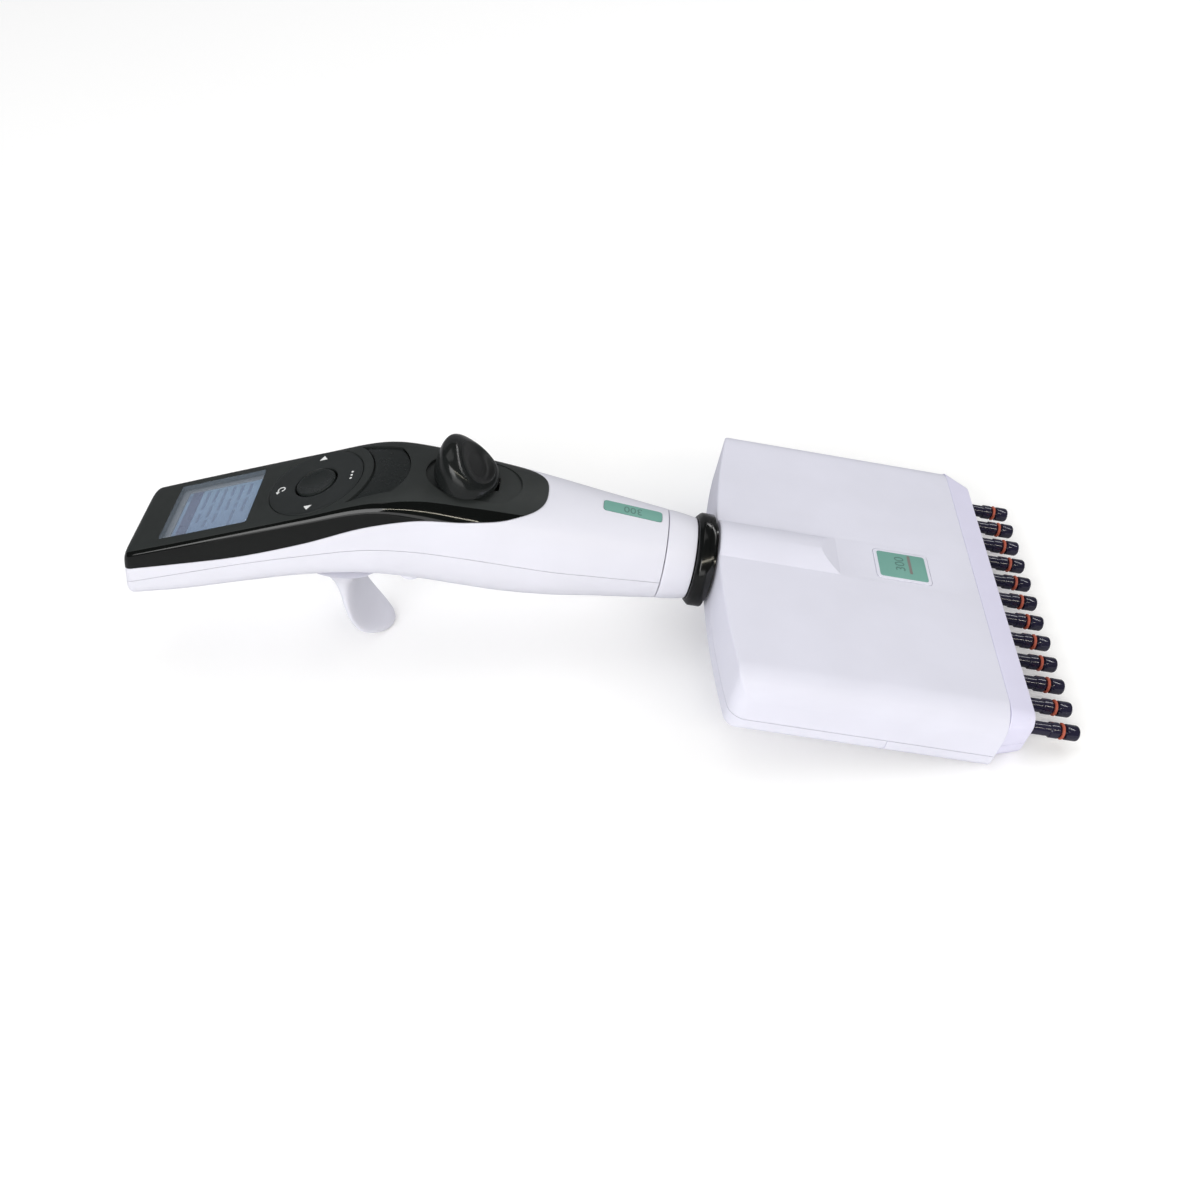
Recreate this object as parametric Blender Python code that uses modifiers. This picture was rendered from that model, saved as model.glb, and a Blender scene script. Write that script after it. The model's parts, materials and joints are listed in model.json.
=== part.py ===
"""Electronic multichannel pipette with twelve channels, lying at rest on a table.

The handle holds a display, a click wheel, two keys, a thumb slide, a stepper motor and a battery.
The manifold swivels on the neck and holds twelve pistons, twelve nozzles and the tip ejector.

Everything is laid out on the pipette's own axis, in metres: +X runs towards the nozzles with x = 0 at
the sealing rings, +Z leaves the front face, and z = 0 is the axis that the manifold swivels about.
One empty then tips the whole pipette to the pose in which it rests on its finger hook and on the
lower edge of the manifold.
"""

import math
from dataclasses import dataclass

import bmesh
import bpy
from mathutils import Matrix, Vector

MM = 0.001
GAP = 0.3 * MM

# Channels
CHANNELS = 12
CHANNEL_PITCH = 9.0 * MM
ROW_HALF = (CHANNELS - 1) / 2 * CHANNEL_PITCH
PISTON_RADIUS = 1.65 * MM
PISTON_STROKE = 15.0 * MM
BORE_RADIUS = PISTON_RADIUS + GAP
FINE_SIDES = 8
ROUND_SIDES = 18

# Nozzles and their sealing rings
NOZZLE_RADIUS = 2.3 * MM
NOZZLE_TIP_X = 5.0 * MM
NOZZLE_TIP_CHAMFER = 0.7 * MM
NOZZLE_SHANK_LENGTH = 6.5 * MM
NOZZLE_BORE_RADIUS = 0.6 * MM
RING_GROOVE_RADIUS = 1.55 * MM
RING_GROOVE_HALF = 1.0 * MM
RING_TUBE_RADIUS = 0.45 * MM

# Manifold housing
HOUSING_SIDE_MARGIN = 9.0 * MM
HOUSING_HALF_WIDTH = ROW_HALF + HOUSING_SIDE_MARGIN
HOUSING_HALF_DEPTH = 10.0 * MM
HOUSING_NECK_X = -100.8 * MM
HOUSING_TIP_X = -19.7 * MM
HOUSING_SETBACK = 5.3 * MM
HOUSING_WALL = 1.8 * MM
FRONT_ROUND = 8.0 * MM
BACK_ROUND = 2.5 * MM
HOUSING_PARTING_Z = -5.0 * MM
RIDGE_RADIUS = 13.0 * MM
RIDGE_END_X = -63.3 * MM
RIDGE_FACET_RUN = 6.2 * MM
BADGE_X = -43.0 * MM
BADGE_LENGTH = 17.3 * MM
BADGE_WIDTH = 13.6 * MM
BADGE_THICKNESS = 0.8 * MM
BADGE_PROUD = 0.2 * MM

# Drive inside the manifold
ARM_CLEARANCE = 0.9 * MM
ARM_THICKNESS = 1.5 * MM
ARM_OUTER_Y = HOUSING_HALF_WIDTH - HOUSING_WALL - ARM_CLEARANCE
BLOCK_CLEARANCE = 1.1 * MM
BLOCK_HALF_WIDTH = ARM_OUTER_Y - ARM_THICKNESS - BLOCK_CLEARANCE
BAR_BACK_X = -82.0 * MM
BAR_THICKNESS = 8.0 * MM
BAR_HALF_HEIGHT = 4.4 * MM
BAR_SETBACK = 0.2 * MM
BAR_HALF_LENGTH = BLOCK_HALF_WIDTH - BAR_SETBACK
COMB_THICKNESS = 1.5 * MM
COMB_HALF_HEIGHT = 3.0 * MM
SEAL_PLATE_THICKNESS = 2.5 * MM
BLOCK_TIP_X = -24.0 * MM
BLOCK_HALF_HEIGHT = 6.5 * MM
SEAL_STRIP_HALF_HEIGHT = 3.0 * MM
SEAL_STRIP_SETBACK = 1.2 * MM
SEAL_STRIP_HALF_LENGTH = BLOCK_HALF_WIDTH - SEAL_STRIP_SETBACK
SEAL_STRIP_THICKNESS = 1.5 * MM
GUIDE_ROD_RADIUS = 1.5 * MM
GUIDE_ROD_Y = ROW_HALF - CHANNEL_PITCH / 2
GUIDE_ROD_SEAT = 7.0 * MM
KNOB_RADIUS = 3.6 * MM
KNOB_LENGTH = 3.0 * MM
KNOB_POCKET_DEPTH = 5.5 * MM
COUPLING_PLATE_RADIUS = 5.0 * MM
COUPLING_PLATE_THICKNESS = 1.3 * MM
COUPLING_BOSS_WALL = 1.0 * MM
COVER_SCREW_X = -40.0 * MM
COVER_SCREW_Y = GUIDE_ROD_Y - CHANNEL_PITCH
SCREW_RADIUS = 1.1 * MM
SCREW_HEAD_RADIUS = 1.9 * MM
SCREW_HEAD_HEIGHT = 1.0 * MM
SCREW_HEAD_DEPTH = 0.1 * MM

# Tip ejector
EJECTOR_TRAVEL = 9.0 * MM
SHROUD_TIP_X = -10.9 * MM
SHROUD_TIP_TOP = 7.0 * MM
SHROUD_TIP_BOTTOM = -8.0 * MM
SHROUD_SIDE_STEP = 1.2 * MM
SHROUD_TAPER = 3.0 * MM
SHROUD_END_WALL = 2.0 * MM
SHROUD_CAVITY_HALF_HEIGHT = BLOCK_HALF_HEIGHT + GAP
SHROUD_SKIRT_LENGTH = 10.5 * MM
SHROUD_TOP_STEP = 0.2 * MM
SHROUD_CORNER = 5.0 * MM
SHROUD_SKIRT_SETBACK = 8.5 * MM
SHROUD_SKIRT_HALF_WIDTH = HOUSING_HALF_WIDTH - SHROUD_SKIRT_SETBACK
NOZZLE_WINDOW_RADIUS = NOZZLE_RADIUS + 2 * GAP
CROSSBAR_BACK_X = -93.5 * MM
CROSSBAR_THICKNESS = 2.0 * MM
CROSSBAR_HALF_HEIGHT = 3.0 * MM
SLEEVE_BACK_X = -96.6 * MM
SLEEVE_RADIUS = 7.5 * MM
SLEEVE_BORE = 4.8 * MM
PUSH_TUBE_RADIUS = 5.6 * MM
PUSH_TUBE_BORE = 4.6 * MM
SLIDER_FLANGE_X = -148.5 * MM
SLIDER_FLANGE_THICKNESS = 2.0 * MM
SLIDER_FLANGE_RADIUS = 8.8 * MM
SLIDER_BAR_Z = (11.7 * MM, 12.8 * MM)
SLIDER_BAR_HALF_WIDTH = 4.0 * MM
SPRING_RADIUS = 7.4 * MM
SPRING_WIRE_RADIUS = 0.45 * MM
SPRING_TURNS = 4.5
SPRING_POINTS_PER_TURN = 12
SPRING_SEAT_X = -131.5 * MM
SPRING_SEAT_THICKNESS = 1.5 * MM
SPRING_SEAT_RADIUS = 12.2 * MM

# Swivel at the neck
HUB_RADIUS = 7.8 * MM
HUB_BORE = 6.2 * MM
HUB_BACK_X = -128.0 * MM
HUB_FLANGE_HALF_WIDTH = 12.0 * MM
HUB_FLANGE_THICKNESS = 1.7 * MM
CLIP_GROOVE_DEPTH = 0.8 * MM
CLIP_GROOVE_WIDTH = 1.4 * MM
CLIP_RADIUS = 10.4 * MM
COLLAR_RADIUS = 14.3 * MM
COLLAR_LENGTH = 5.0 * MM
COLLAR_CHAMFER = 1.2 * MM
COLLAR_FOOT_RADIUS = 12.4 * MM
COLLAR_FOOT_LENGTH = 0.9 * MM
NECK_RING_LENGTH = 9.0 * MM
NECK_SEAM_RADIUS = 13.7 * MM
NECK_RING_STEP = 0.1 * MM
NECK_RING_TIP_RADIUS = 12.5 * MM
NECK_BUSH_LENGTH = 17.0 * MM

# Motor and lead screw, on the pipette axis
MOTOR_X = (-182.0 * MM, -152.0 * MM)
MOTOR_RADIUS = 11.0 * MM
MOTOR_BORE = 6.5 * MM
ROTOR_RADIUS = 6.0 * MM
ROTOR_STUB_RADIUS = 3.6 * MM
BEARING_LENGTH = 2.5 * MM
SCREW_ROD_RADIUS = 2.2 * MM
LEAD_SCREW_RADIUS = 2.5 * MM
LEAD_SCREW_BACK_X = -203.0 * MM
LEAD_SCREW_THREAD_END_X = -138.0 * MM
BULKHEAD_THICKNESS = 2.5 * MM
BULKHEAD_RADIUS_FRONT = 14.1 * MM
BULKHEAD_RADIUS_BACK = 14.9 * MM
TRAY_THICKNESS = 1.4 * MM
TRAY_HALF_WIDTH = 6.0 * MM

# Handle shell
HANDLE_WALL = 2.0 * MM
SECTION_POINTS = 24
HANDLE_END_X = -274.5 * MM
HANDLE_END_ROUND = 2.4 * MM
PANEL_TIP_X = -154.0 * MM
CASE_SCREW_END_X = -268.3 * MM
CASE_SCREW_PALM_X = -190.5 * MM
CASE_SCREW_PALM_Y = 10.0 * MM
CASE_SCREW_SEAT = 3.4 * MM
CASE_SCREW_BITE = 5.5 * MM
BOSS_RADIUS = 3.1 * MM
CONTACT_X = -135.0 * MM
CONTACT_SPACING = 5.0 * MM
CONTACT_RADIUS = 1.6 * MM
CONTACT_CARRIER_Z = (-11.5 * MM, -10.1 * MM)
CONTACT_CARRIER_HALF = (2.2 * MM, 6.9 * MM)
STRIP_BADGE_X = (-136.5 * MM, -118.7 * MM)
STRIP_BADGE_HALF_WIDTH = 2.3 * MM
STRIP_BADGE_DEPTH = 0.8 * MM
STRIP_BADGE_PROUD = 0.1 * MM

# Display head, measured along its sloping front face from the display end
HEAD_ORIGIN_X = -273.0 * MM
HEAD_ORIGIN_Z = -18.7 * MM
HEAD_SLOPE = 0.474
WINDOW_START = 9.2 * MM
WINDOW_LENGTH = 28.6 * MM
WINDOW_WIDTH = 25.2 * MM
WINDOW_THICKNESS = 1.3 * MM
LCD_MARGIN = 0.6 * MM
LCD_CLEARANCE = 0.6 * MM
LCD_THICKNESS = 2.5 * MM
PCB_THICKNESS = 1.6 * MM
PCB_WINDOW_MARGIN = 0.8 * MM
PCB_START = WINDOW_START + PCB_WINDOW_MARGIN
PCB_KEY_MARGIN = 0.4 * MM
PCB_WIDTH = 26.0 * MM
BATTERY_START = 12.0 * MM
BATTERY_SIZE = (45.0 * MM, 25.0 * MM, 7.5 * MM)
WHEEL_CENTRE = 57.4 * MM
WHEEL_RADIUS = 14.8 * MM
WHEEL_THICKNESS = 2.5 * MM
WHEEL_BORE = 6.7 * MM
ROCKER_RADIUS = 13.0 * MM
ROCKER_THICKNESS = 0.6 * MM
ROCKER_DROP = 0.4 * MM
OK_RADIUS = 6.1 * MM
OK_HEIGHT = 3.5 * MM
OK_PROUD = 0.2 * MM
MAT_DEPTH = 4.3 * MM
MAT_THICKNESS = 0.6 * MM
MAT_START = 41.0 * MM
MAT_LENGTH = 40.0 * MM
MAT_WIDTH = 25.0 * MM
RUN_INNER_RADIUS = 18.4 * MM
RUN_INNER_HALF = 13.2 * MM
RUN_OUTER_HALF = 10.4 * MM
RUN_OUTER_START = 82.4 * MM
RUN_BULGE = 3.8 * MM
RUN_DEPTH = 3.2 * MM
RUN_ARC_STEPS = 8

# Thumb slide of the tip ejector
THUMB_X = -177.2 * MM
THUMB_HALF_LENGTH = 8.8 * MM
THUMB_HALF_WIDTH = 11.3 * MM
THUMB_PAD_HEIGHT = 3.2 * MM
THUMB_HUMP_HEIGHT = 7.6 * MM
THUMB_CREST = -0.5
THUMB_BACK_FALL = 0.85
THUMB_UNDERSIDE_Z = 17.6 * MM
THUMB_POST_X = -180.0 * MM
THUMB_POST_LENGTH = 6.0 * MM
THUMB_POST_HALF_WIDTH = 3.0 * MM
THUMB_POCKET_X = (-189.4 * MM, -161.0 * MM)
THUMB_POCKET_HALF_WIDTH = 9.4 * MM
THUMB_FLOOR_Z = 16.1 * MM

# Values that follow from the sizes above
CHANNEL_Y = [(i - (CHANNELS - 1) / 2) * CHANNEL_PITCH for i in range(CHANNELS)]
BAR_TIP_X = BAR_BACK_X + BAR_THICKNESS
COMB_TIP_X = BAR_TIP_X + GAP + COMB_THICKNESS
SEAL_PLATE_BACK_X = COMB_TIP_X + PISTON_STROKE + GAP
BLOCK_BACK_X = SEAL_PLATE_BACK_X + SEAL_PLATE_THICKNESS + GAP
COLLAR_BACK_X = HOUSING_NECK_X - GAP - COLLAR_FOOT_LENGTH - COLLAR_LENGTH
NECK_RING_BACK_X = COLLAR_BACK_X - GAP - NECK_RING_LENGTH
HANDLE_TIP_X = NECK_RING_BACK_X - GAP
SHROUD_BACK_X = HOUSING_TIP_X + GAP
LCD_TOP = -(HANDLE_WALL + LCD_CLEARANCE)
PCB_TOP = LCD_TOP - LCD_THICKNESS - GAP
PCB_LENGTH = RUN_OUTER_START - PCB_KEY_MARGIN - PCB_START
SLIDER_STOP_X = SLIDER_FLANGE_X + SLIDER_FLANGE_THICKNESS


@dataclass(frozen=True)
class Section:
    """One cross-section of the handle, in millimetres, with its corner powers for top and bottom."""

    x: float
    top: float
    bottom: float
    half_width: float
    parting: float
    panel_edge: float
    top_power: float
    bottom_power: float


HANDLE_SECTIONS = (
    Section(-275.0, -19.65, -38.9, 16.9, -31.0, -25.6, 10.0, 3.4),
    Section(-258.0, -11.59, -34.0, 17.2, -23.4, -19.4, 10.0, 3.4),
    Section(-240.0, -3.06, -27.6, 17.3, -15.6, -12.6, 10.0, 3.2),
    Section(-221.0, 5.95, -21.2, 17.4, -8.2, -3.4, 9.5, 3.0),
    Section(-204.0, 14.01, -18.2, 17.5, -2.3, 6.2, 7.5, 2.7),
    Section(-190.0, 17.1, -17.8, 17.5, 0.0, 11.2, 4.6, 2.5),
    Section(-175.0, 17.2, -18.3, 17.5, 0.6, 12.6, 3.4, 2.4),
    Section(-163.0, 16.8, -18.3, 17.2, 0.4, 14.1, 3.0, 2.4),
    Section(-149.0, 16.0, -17.4, 16.6, 0.0, 18.0, 2.6, 2.3),
    Section(-135.0, 15.0, -16.0, 15.4, 0.0, 30.0, 2.3, 2.1),
    Section(-116.5, 13.7, -13.7, 13.7, 0.0, 30.0, 2.0, 2.0),
)

# Finger hook: station on its middle line, half thickness and half width, in millimetres
HOOK_STATIONS = (
    (-211.0, -19.0, 7.6, 12.0),
    (-210.8, -23.5, 4.4, 10.4),
    (-210.0, -28.5, 2.5, 10.0),
    (-208.8, -33.5, 1.9, 10.6),
    (-206.6, -38.6, 1.7, 11.2),
    (-203.4, -42.4, 1.6, 10.6),
    (-199.4, -44.6, 1.5, 8.0),
    (-196.4, -45.4, 1.2, 4.8),
    (-195.2, -45.5, 0.7, 2.4),
)
HOOK_POWER = 2.6
HOOK_POINTS = 14

part_collection = None
cutter_collection = None


def start_scene():
    """Empty the scene and make one collection for the parts and one for the cutters."""
    global part_collection, cutter_collection
    for old in list(bpy.data.objects):
        bpy.data.objects.remove(old, do_unlink=True)
    part_collection = bpy.data.collections.new("multichannel_pipette")
    cutter_collection = bpy.data.collections.new("cutters")
    bpy.context.scene.collection.children.link(part_collection)
    bpy.context.scene.collection.children.link(cutter_collection)


def finish(name, colour, roughness, metallic=0.0, alpha=1.0):
    """A Principled material."""
    material = bpy.data.materials.new(name)
    material.use_nodes = True
    shader = material.node_tree.nodes["Principled BSDF"]
    shader.inputs["Base Color"].default_value = (*colour, 1.0)
    shader.inputs["Roughness"].default_value = roughness
    shader.inputs["Metallic"].default_value = metallic
    shader.inputs["Alpha"].default_value = alpha
    return material


def empty(name, parent=None, location=(0, 0, 0), rotation=(0, 0, 0)):
    """A frame that other objects hang on."""
    frame = bpy.data.objects.new(name, None)
    part_collection.objects.link(frame)
    frame.parent = parent
    frame.location = location
    frame.rotation_euler = rotation
    return frame


def mesh_object(name, bm, parent, material=None, location=(0, 0, 0)):
    """Turn a bmesh into an object; without a material it is a cutter."""
    bmesh.ops.recalc_face_normals(bm, faces=bm.faces)
    mesh = bpy.data.meshes.new(name)
    bm.to_mesh(mesh)
    bm.free()
    return place(name, mesh, parent, material, location)


def place(name, mesh, parent, material=None, location=(0, 0, 0)):
    """Link a mesh as a part, or as a hidden cutter when it has no material."""
    made = bpy.data.objects.new(name, mesh)
    made.parent = parent
    made.location = location
    if material is None:
        cutter_collection.objects.link(made)
        made.hide_render = True
        made.display_type = "WIRE"
        return made
    part_collection.objects.link(made)
    if not mesh.materials:
        mesh.materials.append(material)
    mesh.shade_smooth()
    if mesh.polygons:
        mesh.set_sharp_from_angle(angle=math.radians(35))
    return made


def boolean(target, other, operation):
    """Add a Boolean modifier with the exact solver."""
    modifier = target.modifiers.new(operation.lower(), "BOOLEAN")
    modifier.operation = operation
    modifier.solver = "EXACT"
    modifier.object = other


def add_box(bm, x, y, z):
    """Add a box between pairs of coordinates."""
    spans = (x, y, z)
    size = Matrix.Diagonal([high - low for low, high in spans] + [1.0])
    middle = Matrix.Translation([(low + high) / 2 for low, high in spans])
    bmesh.ops.create_cube(bm, size=1.0, matrix=middle @ size)


def add_rod(bm, radius, x, y=0.0, z=0.0, sides=ROUND_SIDES):
    """Add a cylinder along X between the pair x."""
    turn = Matrix.Rotation(math.pi / 2, 4, "Y")
    middle = Matrix.Translation(((x[0] + x[1]) / 2, y, z))
    bmesh.ops.create_cone(bm, cap_ends=True, segments=sides, radius1=radius, radius2=radius,
                          depth=x[1] - x[0], matrix=middle @ turn)


def add_post(bm, radius, x, y, z, sides=ROUND_SIDES):
    """Add a cylinder along Z between the pair z."""
    middle = Matrix.Translation((x, y, (z[0] + z[1]) / 2))
    bmesh.ops.create_cone(bm, cap_ends=True, segments=sides, radius1=radius, radius2=radius,
                          depth=z[1] - z[0], matrix=middle)


def add_prism(bm, outline, low, high, axis="Z"):
    """Add a flat outline extruded along Z, or an (x, z) outline extruded along Y."""
    def corner(point, level):
        if axis == "Z":
            return (point[0], point[1], level)
        return (point[0], level, point[1])

    face = bm.faces.new([bm.verts.new(corner(point, low)) for point in outline])
    grown = bmesh.ops.extrude_face_region(bm, geom=[face])
    moved = [item for item in grown["geom"] if isinstance(item, bmesh.types.BMVert)]
    step = (0, 0, high - low) if axis == "Z" else (0, high - low, 0)
    bmesh.ops.translate(bm, verts=moved, vec=step)


def add_loft(bm, rings):
    """Join rings of equal length into a closed skin with a flat cap at each end."""
    loops = [[bm.verts.new(point) for point in ring] for ring in rings]
    count = len(loops[0])
    for low, high in zip(loops, loops[1:]):
        for i in range(count):
            bm.faces.new((low[i - 1], low[i], high[i], high[i - 1]))
    bm.faces.new(loops[0])
    bm.faces.new(reversed(loops[-1]))


def turned(name, outline, parent, material, axis="X", sides=ROUND_SIDES, closed=True,
           location=(0, 0, 0), mesh=None):
    """A Screw modifier on an outline of (along, radius) points, outer side first from high to low."""
    if mesh is None:
        mesh = bpy.data.meshes.new(name)
        if axis == "X":
            points = [(along, radius, 0.0) for along, radius in outline]
        else:
            points = [(radius, 0.0, along) for along, radius in outline]
        edges = [(i, i + 1) for i in range(len(points) - 1)]
        if closed:
            edges.append((len(points) - 1, 0))
        mesh.from_pydata(points, edges, [])
    made = place(name, mesh, parent, material, location)
    screw = made.modifiers.new("turn", "SCREW")
    screw.axis = axis
    screw.steps = sides
    screw.render_steps = sides
    screw.use_merge_vertices = True
    screw.merge_threshold = 0.00001
    screw.use_smooth_shade = True
    return made


def ring_outline(outer, inner, x):
    """The outline of a plain ring between the pair x, outer side first."""
    return [(x[1], outer), (x[0], outer), (x[0], inner), (x[1], inner)]


def smooth_value(field, x):
    """Read one field of the handle sections at x, with smooth slopes at the stations."""
    stations = HANDLE_SECTIONS
    values = [getattr(station, field) for station in stations]
    places = [station.x for station in stations]
    at = min(max(x / MM, places[0]), places[-1])
    i = max(k for k in range(len(places) - 1) if places[k] <= at)

    def slope(k):
        low, high = max(k - 1, 0), min(k + 1, len(places) - 1)
        return (values[high] - values[low]) / (places[high] - places[low])

    span = places[i + 1] - places[i]
    t = (at - places[i]) / span
    start = (2 * t ** 3 - 3 * t ** 2 + 1) * values[i] + (t ** 3 - 2 * t ** 2 + t) * span * slope(i)
    end = (3 * t ** 2 - 2 * t ** 3) * values[i + 1] + (t ** 3 - t ** 2) * span * slope(i + 1)
    return start + end


def handle_size(field, x):
    """A handle section's length at x, in metres."""
    return smooth_value(field, x) * MM


def handle_ring(x, inset):
    """One closed ring of the handle's skin at x, moved inwards by inset."""
    half = handle_size("half_width", x) - inset
    parting = handle_size("parting", x)
    rise = handle_size("top", x) - inset - parting
    fall = parting - handle_size("bottom", x) - inset
    ring = []
    for i in range(SECTION_POINTS):
        angle = math.tau * i / SECTION_POINTS
        across, up = math.cos(angle), math.sin(angle)
        power = smooth_value("top_power" if up >= 0 else "bottom_power", x)
        height = rise if up >= 0 else fall
        y = math.copysign(abs(across) ** (2 / power), across) * half
        z = math.copysign(abs(up) ** (2 / power), up) * height
        ring.append((x, y, parting + z))
    return ring


def handle_body(name, parent, inset=0.0, material=None):
    """The handle's skin as a closed loft; inset makes the cutter of its hollow."""
    bm = bmesh.new()
    start = HANDLE_END_X + inset
    end = HANDLE_TIP_X + (2 * HANDLE_WALL if inset else 0.0)
    rounding = 0.0 if inset else HANDLE_END_ROUND
    rings = []
    for share in ((0.0, 0.3, 1.0) if rounding else (1.0,)):
        tuck = rounding * (1 - math.sqrt(1 - (1 - share) ** 2))
        rings.append(handle_ring(start + rounding * share, inset + tuck))
    first = start + rounding
    steps = 15
    for i in range(1, steps + 1):
        rings.append(handle_ring(first + (end - first) * i / steps, inset))
    add_loft(bm, rings)
    return mesh_object(name, bm, parent, material)


def curve_points(field, x_start, x_end, shift, steps=20):
    """Points (x, z) along one of the handle's split lines."""
    points = []
    for i in range(steps + 1):
        x = x_start + (x_end - x_start) * i / steps
        points.append((x, handle_size(field, x) + shift))
    return points


def split_region(name, parent, outline):
    """A wide prism that keeps one shell of the handle."""
    bm = bmesh.new()
    reach = 40 * MM
    add_prism(bm, outline, -reach, reach, axis="Y")
    return mesh_object(name, bm, parent)


def hook_body(parent):
    """The finger hook: a curved tongue that grows out of the back shell."""
    bm = bmesh.new()
    rings = []
    for i, (x, z, half_thickness, half_width) in enumerate(HOOK_STATIONS):
        before = HOOK_STATIONS[max(i - 1, 0)]
        after = HOOK_STATIONS[min(i + 1, len(HOOK_STATIONS) - 1)]
        along = Vector((after[0] - before[0], 0.0, after[1] - before[1])).normalized()
        across = Vector((-along.z, 0.0, along.x))
        ring = []
        for k in range(HOOK_POINTS):
            angle = math.tau * k / HOOK_POINTS
            u = math.copysign(abs(math.cos(angle)) ** (2 / HOOK_POWER), math.cos(angle))
            v = math.copysign(abs(math.sin(angle)) ** (2 / HOOK_POWER), math.sin(angle))
            point = Vector((x, u * half_width, z)) + across * v * half_thickness
            ring.append(point * MM)
        rings.append(ring)
    add_loft(bm, rings)
    return mesh_object("hook_tongue", bm, parent)


def resting_tilt():
    """The angle between the pipette's axis and the table it lies on."""
    edge_x, edge_z = HOUSING_TIP_X, -HOUSING_HALF_DEPTH
    slopes = []
    for i, (x, z, half_thickness, _) in enumerate(HOOK_STATIONS):
        before = HOOK_STATIONS[max(i - 1, 0)]
        after = HOOK_STATIONS[min(i + 1, len(HOOK_STATIONS) - 1)]
        along = Vector((after[0] - before[0], after[1] - before[1])).normalized()
        low_x = (x + along.y * half_thickness) * MM
        low_z = (z - along.x * half_thickness) * MM
        slopes.append((edge_z - low_z) / (edge_x - low_x))
    return math.atan(max(slopes))


def skin_z(side, x, y):
    """The height of the handle's outer skin at (x, y), on its top or its bottom side."""
    share = abs(y) / handle_size("half_width", x)
    power = smooth_value(side + "_power", x)
    parting = handle_size("parting", x)
    return parting + (handle_size(side, x) - parting) * (1 - share ** power) ** (1 / power)


def case_screw_places():
    """The case screws: place, height of the joint, and height of the seat under the head."""
    places = []
    for x, y in ((CASE_SCREW_END_X, 0.0), (CASE_SCREW_PALM_X, -CASE_SCREW_PALM_Y),
                 (CASE_SCREW_PALM_X, CASE_SCREW_PALM_Y)):
        places.append((x, y, handle_size("parting", x), skin_z("bottom", x, y) + CASE_SCREW_SEAT))
    return places


def build_screw(name, place, seat, tip, parent, paint):
    """A screw along Z: its head lies below the seat and its shank ends at the tip."""
    head_top = seat - GAP
    turned(name, [(tip, 0.0), (tip, SCREW_RADIUS), (head_top, SCREW_RADIUS), (head_top, SCREW_HEAD_RADIUS),
                  (head_top - SCREW_HEAD_HEIGHT, SCREW_HEAD_RADIUS), (head_top - SCREW_HEAD_HEIGHT, 0.0)],
           parent, paint["steel"], axis="Z", sides=FINE_SIDES, closed=False, location=(*place, 0))


def run_outline(grow=0.0):
    """The crescent of the run key in the head's plane, grown by a clearance."""
    inner = RUN_INNER_RADIUS - grow
    half = RUN_INNER_HALF + grow
    sweep = math.asin(half / inner)
    points = []
    for i in range(RUN_ARC_STEPS + 1):
        angle = sweep * (1 - 2 * i / RUN_ARC_STEPS)
        points.append((WHEEL_CENTRE + inner * math.cos(angle), inner * math.sin(angle)))
    outer_half = RUN_OUTER_HALF + grow
    radius = (RUN_OUTER_HALF ** 2 + RUN_BULGE ** 2) / (2 * RUN_BULGE) + grow
    centre = RUN_OUTER_START + RUN_BULGE + grow - radius
    sweep = math.asin(outer_half / radius)
    for i in range(RUN_ARC_STEPS + 1):
        angle = sweep * (2 * i / RUN_ARC_STEPS - 1)
        points.append((centre + radius * math.cos(angle), radius * math.sin(angle)))
    return points


def slot_outline(x, half_width, steps=7):
    """An oval between the pair x, with elliptical ends."""
    end = min(half_width, (x[1] - x[0]) / 2)
    points = []
    for centre, start in ((x[1] - end, -math.pi / 2), (x[0] + end, math.pi / 2)):
        for i in range(steps + 1):
            angle = start + math.pi * i / steps
            points.append((centre + end * math.cos(angle), half_width * math.sin(angle)))
    return points


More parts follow.
